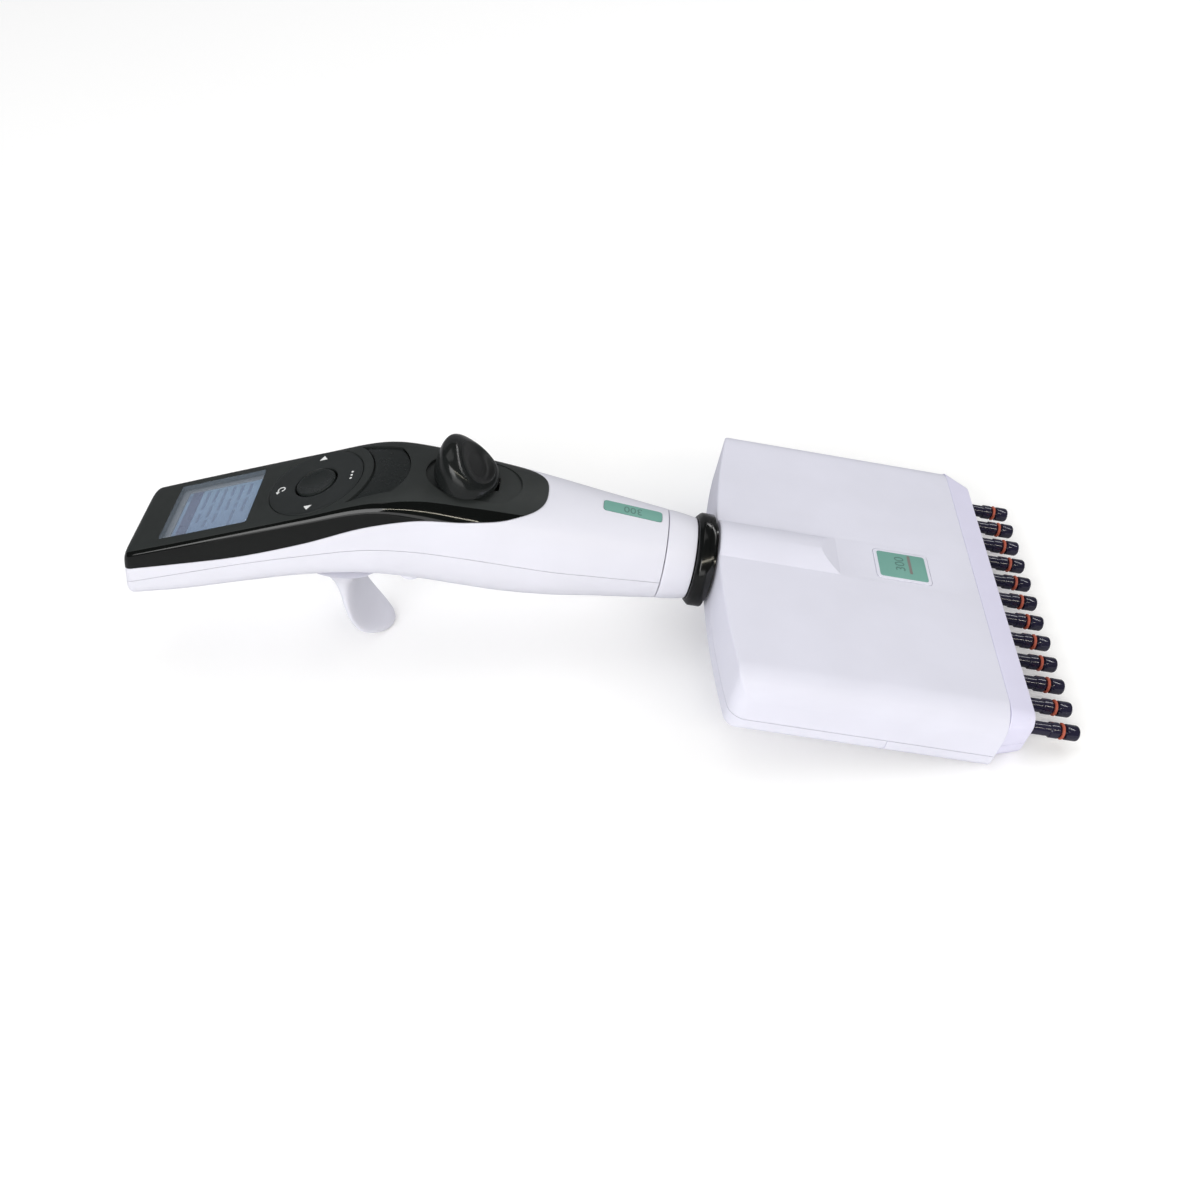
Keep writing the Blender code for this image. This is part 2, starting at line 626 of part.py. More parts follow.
def build_handle_shells(frame, head, paint):
    """The two white shells, the black panel and everything cut into them."""
    hollow = handle_body("handle_hollow", frame, inset=HANDLE_WALL)
    far_left = HANDLE_END_X - 5 * MM
    far_right = HANDLE_TIP_X + 5 * MM
    high, low = 40 * MM, -80 * MM
    parting_up = curve_points("parting", far_left, far_right, GAP / 2)
    parting_down = curve_points("parting", far_left, far_right, -GAP / 2)
    edge_up = curve_points("panel_edge", far_left, PANEL_TIP_X, GAP / 2)
    edge_down = curve_points("panel_edge", far_left, PANEL_TIP_X, -GAP / 2)

    back_region = split_region("back_region", frame,
                               parting_down + [(far_right, low), (far_left, low)])
    front_region = split_region("front_region", frame,
                                parting_up + [(far_right, high), (PANEL_TIP_X + GAP, high)]
                                + list(reversed(edge_down)))
    panel_region = split_region("panel_region", frame,
                                edge_up + [(PANEL_TIP_X, high), (far_left, high)])

    back = handle_body("back_shell", frame, material=paint["white"])
    boolean(back, hook_body(frame), "UNION")
    boolean(back, hollow, "DIFFERENCE")
    boolean(back, back_region, "INTERSECT")
    front = handle_body("front_shell", frame, material=paint["white"])
    boolean(front, hollow, "DIFFERENCE")
    boolean(front, front_region, "INTERSECT")
    panel = handle_body("control_panel", frame, material=paint["black"])
    boolean(panel, hollow, "DIFFERENCE")
    boolean(panel, panel_region, "INTERSECT")

    lower, upper, limit = bmesh.new(), bmesh.new(), handle_body("boss_limit", frame, HANDLE_WALL / 2)
    head_holes, shank_holes, holes_above = bmesh.new(), bmesh.new(), bmesh.new()
    for i, (x, y, joint, seat) in enumerate(case_screw_places()):
        tip = joint + CASE_SCREW_BITE
        add_post(lower, BOSS_RADIUS, x, y, (low, joint - GAP / 2), FINE_SIDES)
        add_post(upper, BOSS_RADIUS, x, y, (joint + GAP / 2, high), FINE_SIDES)
        add_post(head_holes, SCREW_HEAD_RADIUS + GAP, x, y, (low, seat), FINE_SIDES)
        add_post(shank_holes, SCREW_RADIUS + GAP, x, y, (low, high), FINE_SIDES)
        add_post(holes_above, SCREW_RADIUS + GAP, x, y, (low, tip + GAP), FINE_SIDES)
        build_screw(f"case_screw_{i + 1}", (x, y), seat, tip, frame, paint)
    for shell, bosses, name in ((back, lower, "lower_bosses"), (panel, upper, "upper_bosses")):
        posts = mesh_object(name, bosses, frame)
        boolean(posts, limit, "INTERSECT")
        boolean(shell, posts, "UNION")

    contacts = bmesh.new()
    half_x, half_y = CONTACT_CARRIER_HALF
    add_box(contacts, (CONTACT_X - half_x, CONTACT_X + half_x), (-half_y, half_y), CONTACT_CARRIER_Z)
    contact_part = mesh_object("charging_contacts", contacts, frame, paint["brass"])
    pins = bmesh.new()
    pin_holes = bmesh.new()
    for i in (-1, 0, 1):
        y = i * CONTACT_SPACING
        add_post(pins, CONTACT_RADIUS, CONTACT_X, y,
                 (skin_z("bottom", CONTACT_X, y), CONTACT_CARRIER_Z[1] - GAP), FINE_SIDES)
        add_post(pin_holes, CONTACT_RADIUS + GAP, CONTACT_X, y, (low, CONTACT_CARRIER_Z[0]), FINE_SIDES)
    boolean(contact_part, mesh_object("contact_pins", pins, frame), "UNION")
    for name, cutter in (("head_holes", head_holes), ("shank_holes", shank_holes), ("pin_holes", pin_holes)):
        boolean(back, mesh_object(name, cutter, frame), "DIFFERENCE")

    boolean(panel, mesh_object("panel_screw_holes", holes_above, frame), "DIFFERENCE")
    face_holes = bmesh.new()
    reach = (-6 * MM, 6 * MM)
    add_box(face_holes, (WINDOW_START - GAP, WINDOW_START + WINDOW_LENGTH + GAP),
            (-WINDOW_WIDTH / 2 - GAP, WINDOW_WIDTH / 2 + GAP), reach)
    add_post(face_holes, WHEEL_RADIUS + GAP, WHEEL_CENTRE, 0, reach, 2 * ROUND_SIDES)
    add_prism(face_holes, run_outline(GAP), *reach)
    boolean(panel, mesh_object("face_holes", face_holes, head), "DIFFERENCE")
    slide_holes = bmesh.new()
    add_prism(slide_holes, slot_outline(THUMB_POCKET_X, THUMB_POCKET_HALF_WIDTH), THUMB_FLOOR_Z, high)
    boolean(panel, mesh_object("thumb_pocket", slide_holes, frame), "DIFFERENCE")
    post_slot = bmesh.new()
    add_box(post_slot, (THUMB_POST_X - THUMB_POST_LENGTH / 2 - GAP,
                        THUMB_POST_X + THUMB_POST_LENGTH / 2 + EJECTOR_TRAVEL + GAP),
            (-THUMB_POST_HALF_WIDTH - GAP, THUMB_POST_HALF_WIDTH + GAP), (10 * MM, high))
    boolean(panel, mesh_object("post_slot", post_slot, frame), "DIFFERENCE")

    badge = strip_on_neck(0.0)
    recess = strip_on_neck(GAP)
    boolean(front, mesh_object("badge_recess", recess, frame), "DIFFERENCE")
    mesh_object("handle_badge", badge, frame, paint["teal"])


def strip_on_neck(grow):
    """A thin strip that follows the top line of the neck; grow makes its recess."""
    bm = bmesh.new()
    steps = 6
    half = STRIP_BADGE_HALF_WIDTH + grow
    lift = HANDLE_WALL if grow else STRIP_BADGE_PROUD
    x_start, x_end = STRIP_BADGE_X[0] - grow, STRIP_BADGE_X[1] + grow
    rings = []
    for i in range(steps + 1):
        x = x_start + (x_end - x_start) * i / steps
        top = handle_size("top", x)
        floor = top - STRIP_BADGE_DEPTH - grow
        rings.append([(x, -half, floor), (x, half, floor), (x, half, top + lift), (x, -half, top + lift)])
    add_loft(bm, rings)
    return bm


def build_face_controls(head, frame, paint):
    """The window, the display module, the click wheel, the keys and the mat below them."""
    window = bmesh.new()
    add_box(window, (0, WINDOW_LENGTH), (-WINDOW_WIDTH / 2, WINDOW_WIDTH / 2),
            (-WINDOW_THICKNESS, -GAP / 2))
    mesh_object("display_window", window, head, paint["glass"], (WINDOW_START, 0, 0))

    lcd = bmesh.new()
    half = WINDOW_WIDTH / 2 + LCD_MARGIN
    add_box(lcd, (-LCD_MARGIN, WINDOW_LENGTH + LCD_MARGIN), (-half, half), (-LCD_THICKNESS, 0))
    mesh_object("lcd_module", lcd, head, paint["display"], (WINDOW_START, 0, LCD_TOP))

    pcb = bmesh.new()
    add_box(pcb, (0, PCB_LENGTH), (-PCB_WIDTH / 2, PCB_WIDTH / 2), (-PCB_THICKNESS, 0))
    mesh_object("main_pcb", pcb, head, paint["board"], (PCB_START, 0, PCB_TOP))

    battery = bmesh.new()
    length, width, height = BATTERY_SIZE
    add_box(battery, (0, length), (-width / 2, width / 2), (-height, 0))
    mesh_object("battery", battery, head, paint["battery"],
                (BATTERY_START, 0, PCB_TOP - PCB_THICKNESS - GAP))

    mat = bmesh.new()
    add_box(mat, (0, MAT_LENGTH), (-MAT_WIDTH / 2, MAT_WIDTH / 2), (-MAT_THICKNESS, 0))
    mesh_object("keypad_mat", mat, head, paint["rubber"], (MAT_START, 0, -MAT_DEPTH))

    rocker_top = -WHEEL_THICKNESS - ROCKER_DROP
    turned("wheel_rocker_plate", ring_outline(ROCKER_RADIUS, WHEEL_BORE + GAP,
                                              (rocker_top - ROCKER_THICKNESS, rocker_top)),
           head, paint["black"], axis="Z", location=(WHEEL_CENTRE, 0, 0))
    turned("touch_wheel", ring_outline(WHEEL_RADIUS, WHEEL_BORE, (-WHEEL_THICKNESS, 0.0)),
           head, paint["wheel"], axis="Z", sides=2 * ROUND_SIDES, location=(WHEEL_CENTRE, 0, 0))
    ok = bmesh.new()
    add_post(ok, OK_RADIUS, 0, 0, (-OK_HEIGHT, OK_PROUD))
    mesh_object("ok_button", ok, head, paint["wheel"], (WHEEL_CENTRE, 0, 0))

    run = bmesh.new()
    add_prism(run, run_outline(), -RUN_DEPTH, 6 * MM)
    run_key = mesh_object("run_button", run, head, paint["black"])
    boolean(run_key, handle_body("run_key_skin", frame), "INTERSECT")


def build_thumb_slide(frame, paint):
    """The ejector's thumb pad, its slider, push tube, spring and spring seat."""
    bm = bmesh.new()
    floor = THUMB_UNDERSIDE_Z
    sides = 20
    rings = []
    for share, lift in ((1.0, 0.0), (1.0, 0.3), (0.95, 0.75), (0.84, 1.0), (0.68, 1.0), (0.48, 1.0),
                        (0.26, 1.0)):
        ring = []
        for i in range(sides):
            u = share * math.cos(math.tau * i / sides)
            v = share * math.sin(math.tau * i / sides)
            front = min(max((0.15 - u) / 0.5, 0.0), 1.0)
            back = min(max((THUMB_CREST - u) / (1 + THUMB_CREST), 0.0), 1.0)
            hump = front * front * (3 - 2 * front) * math.sqrt(1 - THUMB_BACK_FALL * back ** 2)
            height = THUMB_PAD_HEIGHT + THUMB_HUMP_HEIGHT * hump * math.sqrt(1 - v * v)
            ring.append((u * THUMB_HALF_LENGTH, v * THUMB_HALF_WIDTH, floor + height * lift))
        rings.append(ring)
    add_loft(bm, rings)
    post = bmesh.new()
    add_box(post, (THUMB_POST_X - THUMB_POST_LENGTH / 2, THUMB_POST_X + THUMB_POST_LENGTH / 2),
            (-THUMB_POST_HALF_WIDTH, THUMB_POST_HALF_WIDTH), (SLIDER_BAR_Z[1] + GAP, floor + GAP))
    pad = mesh_object("ejector_button", bm, frame, paint["wheel"], (THUMB_X, 0, 0))
    boolean(pad, mesh_object("thumb_post", post, frame), "UNION")

    slider = bmesh.new()
    bar_back = THUMB_POST_X - THUMB_POST_LENGTH / 2
    add_box(slider, (bar_back, SLIDER_STOP_X), (-SLIDER_BAR_HALF_WIDTH, SLIDER_BAR_HALF_WIDTH),
            SLIDER_BAR_Z)
    slider_part = mesh_object("ejector_slider", slider, frame, paint["steel"])
    leg = bmesh.new()
    add_rod(leg, SLIDER_FLANGE_RADIUS, (SLIDER_FLANGE_X, SLIDER_STOP_X))
    boolean(slider_part, mesh_object("slider_flange", leg, frame), "UNION")
    web = bmesh.new()
    add_box(web, (SLIDER_FLANGE_X, SLIDER_STOP_X), (-SLIDER_BAR_HALF_WIDTH, SLIDER_BAR_HALF_WIDTH),
            (SLIDER_FLANGE_RADIUS / 2, SLIDER_BAR_Z[1]))
    boolean(slider_part, mesh_object("slider_web", web, frame), "UNION")
    bore = bmesh.new()
    add_rod(bore, PUSH_TUBE_BORE, (SLIDER_FLANGE_X - MM, SLIDER_STOP_X + MM))
    boolean(slider_part, mesh_object("slider_bore", bore, frame), "DIFFERENCE")

    tube_x = (SLIDER_STOP_X + GAP, SLEEVE_BACK_X - GAP)
    turned("ejector_push_tube", ring_outline(PUSH_TUBE_RADIUS, PUSH_TUBE_BORE, tube_x),
           frame, paint["steel"])
    seat_x = (SPRING_SEAT_X, SPRING_SEAT_X + SPRING_SEAT_THICKNESS)
    turned("spring_seat", ring_outline(SPRING_SEAT_RADIUS, PUSH_TUBE_RADIUS + 2 * GAP, seat_x),
           frame, paint["grey"])
    spring_start = SLIDER_STOP_X + GAP + SPRING_WIRE_RADIUS
    spring_end = SPRING_SEAT_X - GAP - SPRING_WIRE_RADIUS
    coil_spring("ejector_spring", spring_start, spring_end, frame, paint["steel"])


def coil_spring(name, x_start, x_end, parent, material):
    """A compression spring on the pipette's axis, as a tube along a helix."""
    count = int(SPRING_TURNS * SPRING_POINTS_PER_TURN) + 1
    curve = bpy.data.curves.new(name, "CURVE")
    curve.dimensions = "3D"
    curve.bevel_depth = SPRING_WIRE_RADIUS
    curve.bevel_resolution = 1
    curve.use_fill_caps = True
    line = curve.splines.new("POLY")
    line.points.add(count - 1)
    for i in range(count):
        share = i / (count - 1)
        angle = math.tau * SPRING_TURNS * share
        y, z = SPRING_RADIUS * math.cos(angle), SPRING_RADIUS * math.sin(angle)
        line.points[i].co = (x_start + (x_end - x_start) * share, y, z, 1.0)
    made = bpy.data.objects.new(name, curve)
    curve.materials.append(material)
    part_collection.objects.link(made)
    made.parent = parent


def build_drive(frame, paint):
    """The chassis, the motor with its rotor and bearings, and the lead screw."""
    front_x = (MOTOR_X[1] + GAP, MOTOR_X[1] + GAP + BULKHEAD_THICKNESS)
    back_x = (MOTOR_X[0] - GAP - BULKHEAD_THICKNESS, MOTOR_X[0] - GAP)
    chassis_mesh = bmesh.new()
    add_rod(chassis_mesh, BULKHEAD_RADIUS_FRONT, front_x)
    chassis = mesh_object("chassis", chassis_mesh, frame, paint["grey"])
    rear = bmesh.new()
    add_rod(rear, BULKHEAD_RADIUS_BACK, back_x)
    boolean(chassis, mesh_object("rear_bulkhead", rear, frame), "UNION")
    tray = bmesh.new()
    tray_top = -MOTOR_RADIUS - GAP
    add_box(tray, (back_x[0] + GAP, front_x[1] - GAP), (-TRAY_HALF_WIDTH, TRAY_HALF_WIDTH),
            (tray_top - TRAY_THICKNESS, tray_top))
    boolean(chassis, mesh_object("chassis_tray", tray, frame), "UNION")
    trims = bmesh.new()
    reach = 30 * MM
    add_box(trims, (back_x[0] - reach, front_x[1] + reach), (-reach, reach),
            (SLIDER_BAR_Z[0] - GAP, reach))
    add_rod(trims, MOTOR_BORE, (back_x[0] - MM, front_x[1] + MM))
    boolean(chassis, mesh_object("chassis_trims", trims, frame), "DIFFERENCE")

    turned("motor_stator", ring_outline(MOTOR_RADIUS, MOTOR_BORE, MOTOR_X), frame, paint["can"])
    bearing_outer = MOTOR_BORE - GAP
    bearing_inner = ROTOR_STUB_RADIUS + GAP
    stub_back, stub_tip = MOTOR_X[0] + GAP, MOTOR_X[1] - GAP
    for name, x in (("rear", (stub_back, stub_back + BEARING_LENGTH)),
                    ("front", (stub_tip - BEARING_LENGTH, stub_tip))):
        turned("motor_bearing_" + name, ring_outline(bearing_outer, bearing_inner, x), frame,
               paint["steel"])
    body_back = stub_back + BEARING_LENGTH + GAP
    body_tip = stub_tip - BEARING_LENGTH - GAP
    nut_bore = LEAD_SCREW_RADIUS + GAP
    turned("motor_rotor", [
        (stub_tip, ROTOR_STUB_RADIUS), (body_tip, ROTOR_STUB_RADIUS), (body_tip, ROTOR_RADIUS),
        (body_back, ROTOR_RADIUS), (body_back, ROTOR_STUB_RADIUS), (stub_back, ROTOR_STUB_RADIUS),
        (stub_back, nut_bore), (stub_tip, nut_bore)], frame, paint["brass"])

    knob_back = BAR_BACK_X + COUPLING_PLATE_THICKNESS + GAP + GAP
    knob_tip = knob_back + KNOB_LENGTH
    turned("lead_screw", [
        (knob_tip, 0.0), (knob_tip, KNOB_RADIUS), (knob_back, KNOB_RADIUS),
        (knob_back, SCREW_ROD_RADIUS), (LEAD_SCREW_THREAD_END_X, SCREW_ROD_RADIUS),
        (LEAD_SCREW_THREAD_END_X, LEAD_SCREW_RADIUS), (LEAD_SCREW_BACK_X, LEAD_SCREW_RADIUS),
        (LEAD_SCREW_BACK_X, 0.0)], frame, paint["steel"], sides=16, closed=False)


def build_neck(frame, manifold, paint):
    """The neck ring and its bush on the handle, and the hub, clip and collar that turn in them."""
    ring_tip = NECK_RING_BACK_X + NECK_RING_LENGTH
    bore = NECK_SEAM_RADIUS - HANDLE_WALL
    turned("neck_ring", [
        (ring_tip, NECK_RING_TIP_RADIUS), (NECK_RING_BACK_X, NECK_SEAM_RADIUS - NECK_RING_STEP),
        (NECK_RING_BACK_X, bore), (ring_tip, bore)], frame, paint["white"], sides=2 * ROUND_SIDES)
    bush_tip = ring_tip - 2 * GAP
    turned("neck_bush", ring_outline(bore - GAP, HUB_RADIUS + GAP, (bush_tip - NECK_BUSH_LENGTH, bush_tip)),
           frame, paint["grey"])

    hub_flange_back = HOUSING_NECK_X + HOUSING_WALL + GAP
    hub_tip = hub_flange_back + HUB_FLANGE_THICKNESS
    groove = (HUB_BACK_X + CLIP_GROOVE_WIDTH, HUB_BACK_X + 2 * CLIP_GROOVE_WIDTH)
    groove_radius = HUB_RADIUS - CLIP_GROOVE_DEPTH
    hub = turned("swivel_hub", [
        (hub_tip - GAP, HUB_RADIUS), (groove[1], HUB_RADIUS), (groove[1], groove_radius),
        (groove[0], groove_radius), (groove[0], HUB_RADIUS), (HUB_BACK_X, HUB_RADIUS),
        (HUB_BACK_X, HUB_BORE), (hub_tip - GAP, HUB_BORE)], manifold, paint["grey"])
    flange = bmesh.new()
    add_box(flange, (hub_flange_back, hub_tip), (-HUB_FLANGE_HALF_WIDTH, HUB_FLANGE_HALF_WIDTH),
            (-HUB_RADIUS, HUB_RADIUS))
    flange_plate = mesh_object("hub_flange", flange, manifold)
    bore_cutter = bmesh.new()
    add_rod(bore_cutter, HUB_BORE, (hub_flange_back - MM, hub_tip + MM))
    boolean(flange_plate, mesh_object("hub_bore", bore_cutter, manifold), "DIFFERENCE")
    boolean(hub, flange_plate, "UNION")
    clip_x = (groove[0] + GAP, groove[1] - GAP)
    turned("hub_clip", ring_outline(CLIP_RADIUS, groove_radius + GAP, clip_x), manifold, paint["steel"])

    collar_tip = COLLAR_BACK_X + COLLAR_LENGTH
    foot_tip = collar_tip + COLLAR_FOOT_LENGTH
    turned("swivel_collar", [
        (foot_tip, COLLAR_FOOT_RADIUS), (collar_tip, COLLAR_FOOT_RADIUS), (collar_tip, COLLAR_RADIUS),
        (COLLAR_BACK_X + COLLAR_CHAMFER, COLLAR_RADIUS),
        (COLLAR_BACK_X, COLLAR_RADIUS - COLLAR_CHAMFER), (COLLAR_BACK_X, HUB_RADIUS + GAP),
        (foot_tip, HUB_RADIUS + GAP)], manifold, paint["black"], sides=2 * ROUND_SIDES)


def housing_columns(inset):
    """The housing's width as columns (y, bottom, top), rounded at the long edges."""
    half = HOUSING_HALF_WIDTH - inset
    top = HOUSING_HALF_DEPTH - inset
    front = FRONT_ROUND - inset
    back = max(BACK_ROUND - inset, 0.5 * MM)
    ends = [half - front + front * math.sin(math.radians(a)) for a in (0, 22, 45, 66, 82, 90)]
    middle = [0.0, 12 * MM, 24 * MM, 37 * MM]
    positive = sorted(middle + ends + [half - back])
    columns = []
    for y in [-v for v in reversed(positive[1:])] + positive:
        over_front = max(abs(y) - (half - front), 0.0)
        over_back = max(abs(y) - (half - back), 0.0)
        z_top = top - front + math.sqrt(max(front ** 2 - over_front ** 2, 0.0))
        z_bottom = -top + back - math.sqrt(max(back ** 2 - over_back ** 2, 0.0))
        columns.append((y, z_bottom, z_top))
    return columns


def roof_x(y):
    """The shallow arc of the housing's neck end."""
    radius = (HOUSING_HALF_WIDTH ** 2 + HOUSING_SETBACK ** 2) / (2 * HOUSING_SETBACK)
    return HOUSING_NECK_X + radius - math.sqrt(radius ** 2 - y ** 2)


def housing_body(name, parent, inset=0.0, material=None):
    """The manifold's outer block, or with an inset the cutter of its hollow."""
    bm = bmesh.new()
    tip = HOUSING_TIP_X + (5 * MM if inset else 0.0)
    rings = []
    for y, bottom, top in housing_columns(inset):
        neck = roof_x(y) + inset
        rings.append([(neck, y, bottom), (neck, y, top), (tip, y, top), (tip, y, bottom)])
    add_loft(bm, rings)
    return mesh_object(name, bm, parent, material)


def build_ridge(parent):
    """The neck fairing on the front cover, half round with a sloping end facet."""
    bm = bmesh.new()
    foot = HOUSING_HALF_DEPTH - HOUSING_WALL / 2
    half = math.sqrt(RIDGE_RADIUS ** 2 - foot ** 2)
    sweep = math.asin(half / RIDGE_RADIUS)
    steps = 10
    rings = [[], []]
    slope = RIDGE_FACET_RUN / (RIDGE_RADIUS - HOUSING_HALF_DEPTH)
    for i in range(steps + 1):
        angle = sweep * (2 * i / steps - 1)
        y, z = RIDGE_RADIUS * math.sin(angle), RIDGE_RADIUS * math.cos(angle)
        rings[0].append((roof_x(0) + GAP, y, z))
        rings[1].append((RIDGE_END_X - (z - HOUSING_HALF_DEPTH) * slope, y, z))
    add_loft(bm, rings)
    return mesh_object("ridge", bm, parent)


def build_covers(manifold, paint):
    """The front and back covers of the manifold, their screws and the badge."""
    hollow = housing_body("housing_hollow", manifold, inset=HOUSING_WALL)
    reach = 200 * MM
    above = bmesh.new()
    add_box(above, (-reach, reach), (-reach, reach), (HOUSING_PARTING_Z + GAP / 2, reach))
    below = bmesh.new()
    add_box(below, (-reach, reach), (-reach, reach), (-reach, HOUSING_PARTING_Z - GAP / 2))
    front = housing_body("manifold_front_cover", manifold, material=paint["white"])
    boolean(front, build_ridge(manifold), "UNION")
    boolean(front, hollow, "DIFFERENCE")
    boolean(front, mesh_object("front_half", above, manifold), "INTERSECT")
    back = housing_body("manifold_back_cover", manifold, material=paint["white"])
    boolean(back, hollow, "DIFFERENCE")
    boolean(back, mesh_object("back_half", below, manifold), "INTERSECT")

    neck_hole = bmesh.new()
    add_rod(neck_hole, HUB_RADIUS + GAP, (HOUSING_NECK_X - MM, HOUSING_NECK_X + 2 * HOUSING_WALL))
    neck_cutter = mesh_object("neck_hole", neck_hole, manifold)
    boolean(front, neck_cutter, "DIFFERENCE")
    boolean(back, neck_cutter, "DIFFERENCE")

    bosses, boss_holes, shank_holes, head_holes = bmesh.new(), bmesh.new(), bmesh.new(), bmesh.new()
    seat = -HOUSING_HALF_DEPTH + SCREW_HEAD_DEPTH + SCREW_HEAD_HEIGHT + GAP
    boss_foot = BLOCK_HALF_HEIGHT + GAP
    screw_tip = boss_foot + HOUSING_WALL / 2
    for i, y in enumerate((-COVER_SCREW_Y, COVER_SCREW_Y)):
        add_post(bosses, BOSS_RADIUS, COVER_SCREW_X, y, (boss_foot, HOUSING_HALF_DEPTH - MM), FINE_SIDES)
        add_post(boss_holes, SCREW_RADIUS + GAP, COVER_SCREW_X, y, (0, screw_tip + GAP), FINE_SIDES)
        add_post(shank_holes, SCREW_RADIUS + GAP, COVER_SCREW_X, y, (-reach, 0), FINE_SIDES)
        add_post(head_holes, SCREW_HEAD_RADIUS + GAP, COVER_SCREW_X, y, (-reach, seat), FINE_SIDES)
        build_screw(f"cover_screw_{i + 1}", (COVER_SCREW_X, y), seat, screw_tip, manifold, paint)
    boolean(front, mesh_object("cover_bosses", bosses, manifold), "UNION")
    boolean(front, mesh_object("cover_boss_holes", boss_holes, manifold), "DIFFERENCE")
    boolean(back, mesh_object("cover_shank_holes", shank_holes, manifold), "DIFFERENCE")
    boolean(back, mesh_object("cover_head_holes", head_holes, manifold), "DIFFERENCE")

    badge_floor = HOUSING_HALF_DEPTH + BADGE_PROUD - BADGE_THICKNESS
    pocket = bmesh.new()
    add_box(pocket, (BADGE_X - BADGE_LENGTH / 2 - GAP, BADGE_X + BADGE_LENGTH / 2 + GAP),
            (-BADGE_WIDTH / 2 - GAP, BADGE_WIDTH / 2 + GAP), (badge_floor - GAP, reach))
    boolean(front, mesh_object("badge_pocket", pocket, manifold), "DIFFERENCE")
    badge = bmesh.new()
    add_box(badge, (-BADGE_LENGTH / 2, BADGE_LENGTH / 2), (-BADGE_WIDTH / 2, BADGE_WIDTH / 2),
            (0, BADGE_THICKNESS))
    mesh_object("front_badge", badge, manifold, paint["teal"], (BADGE_X, 0, badge_floor))


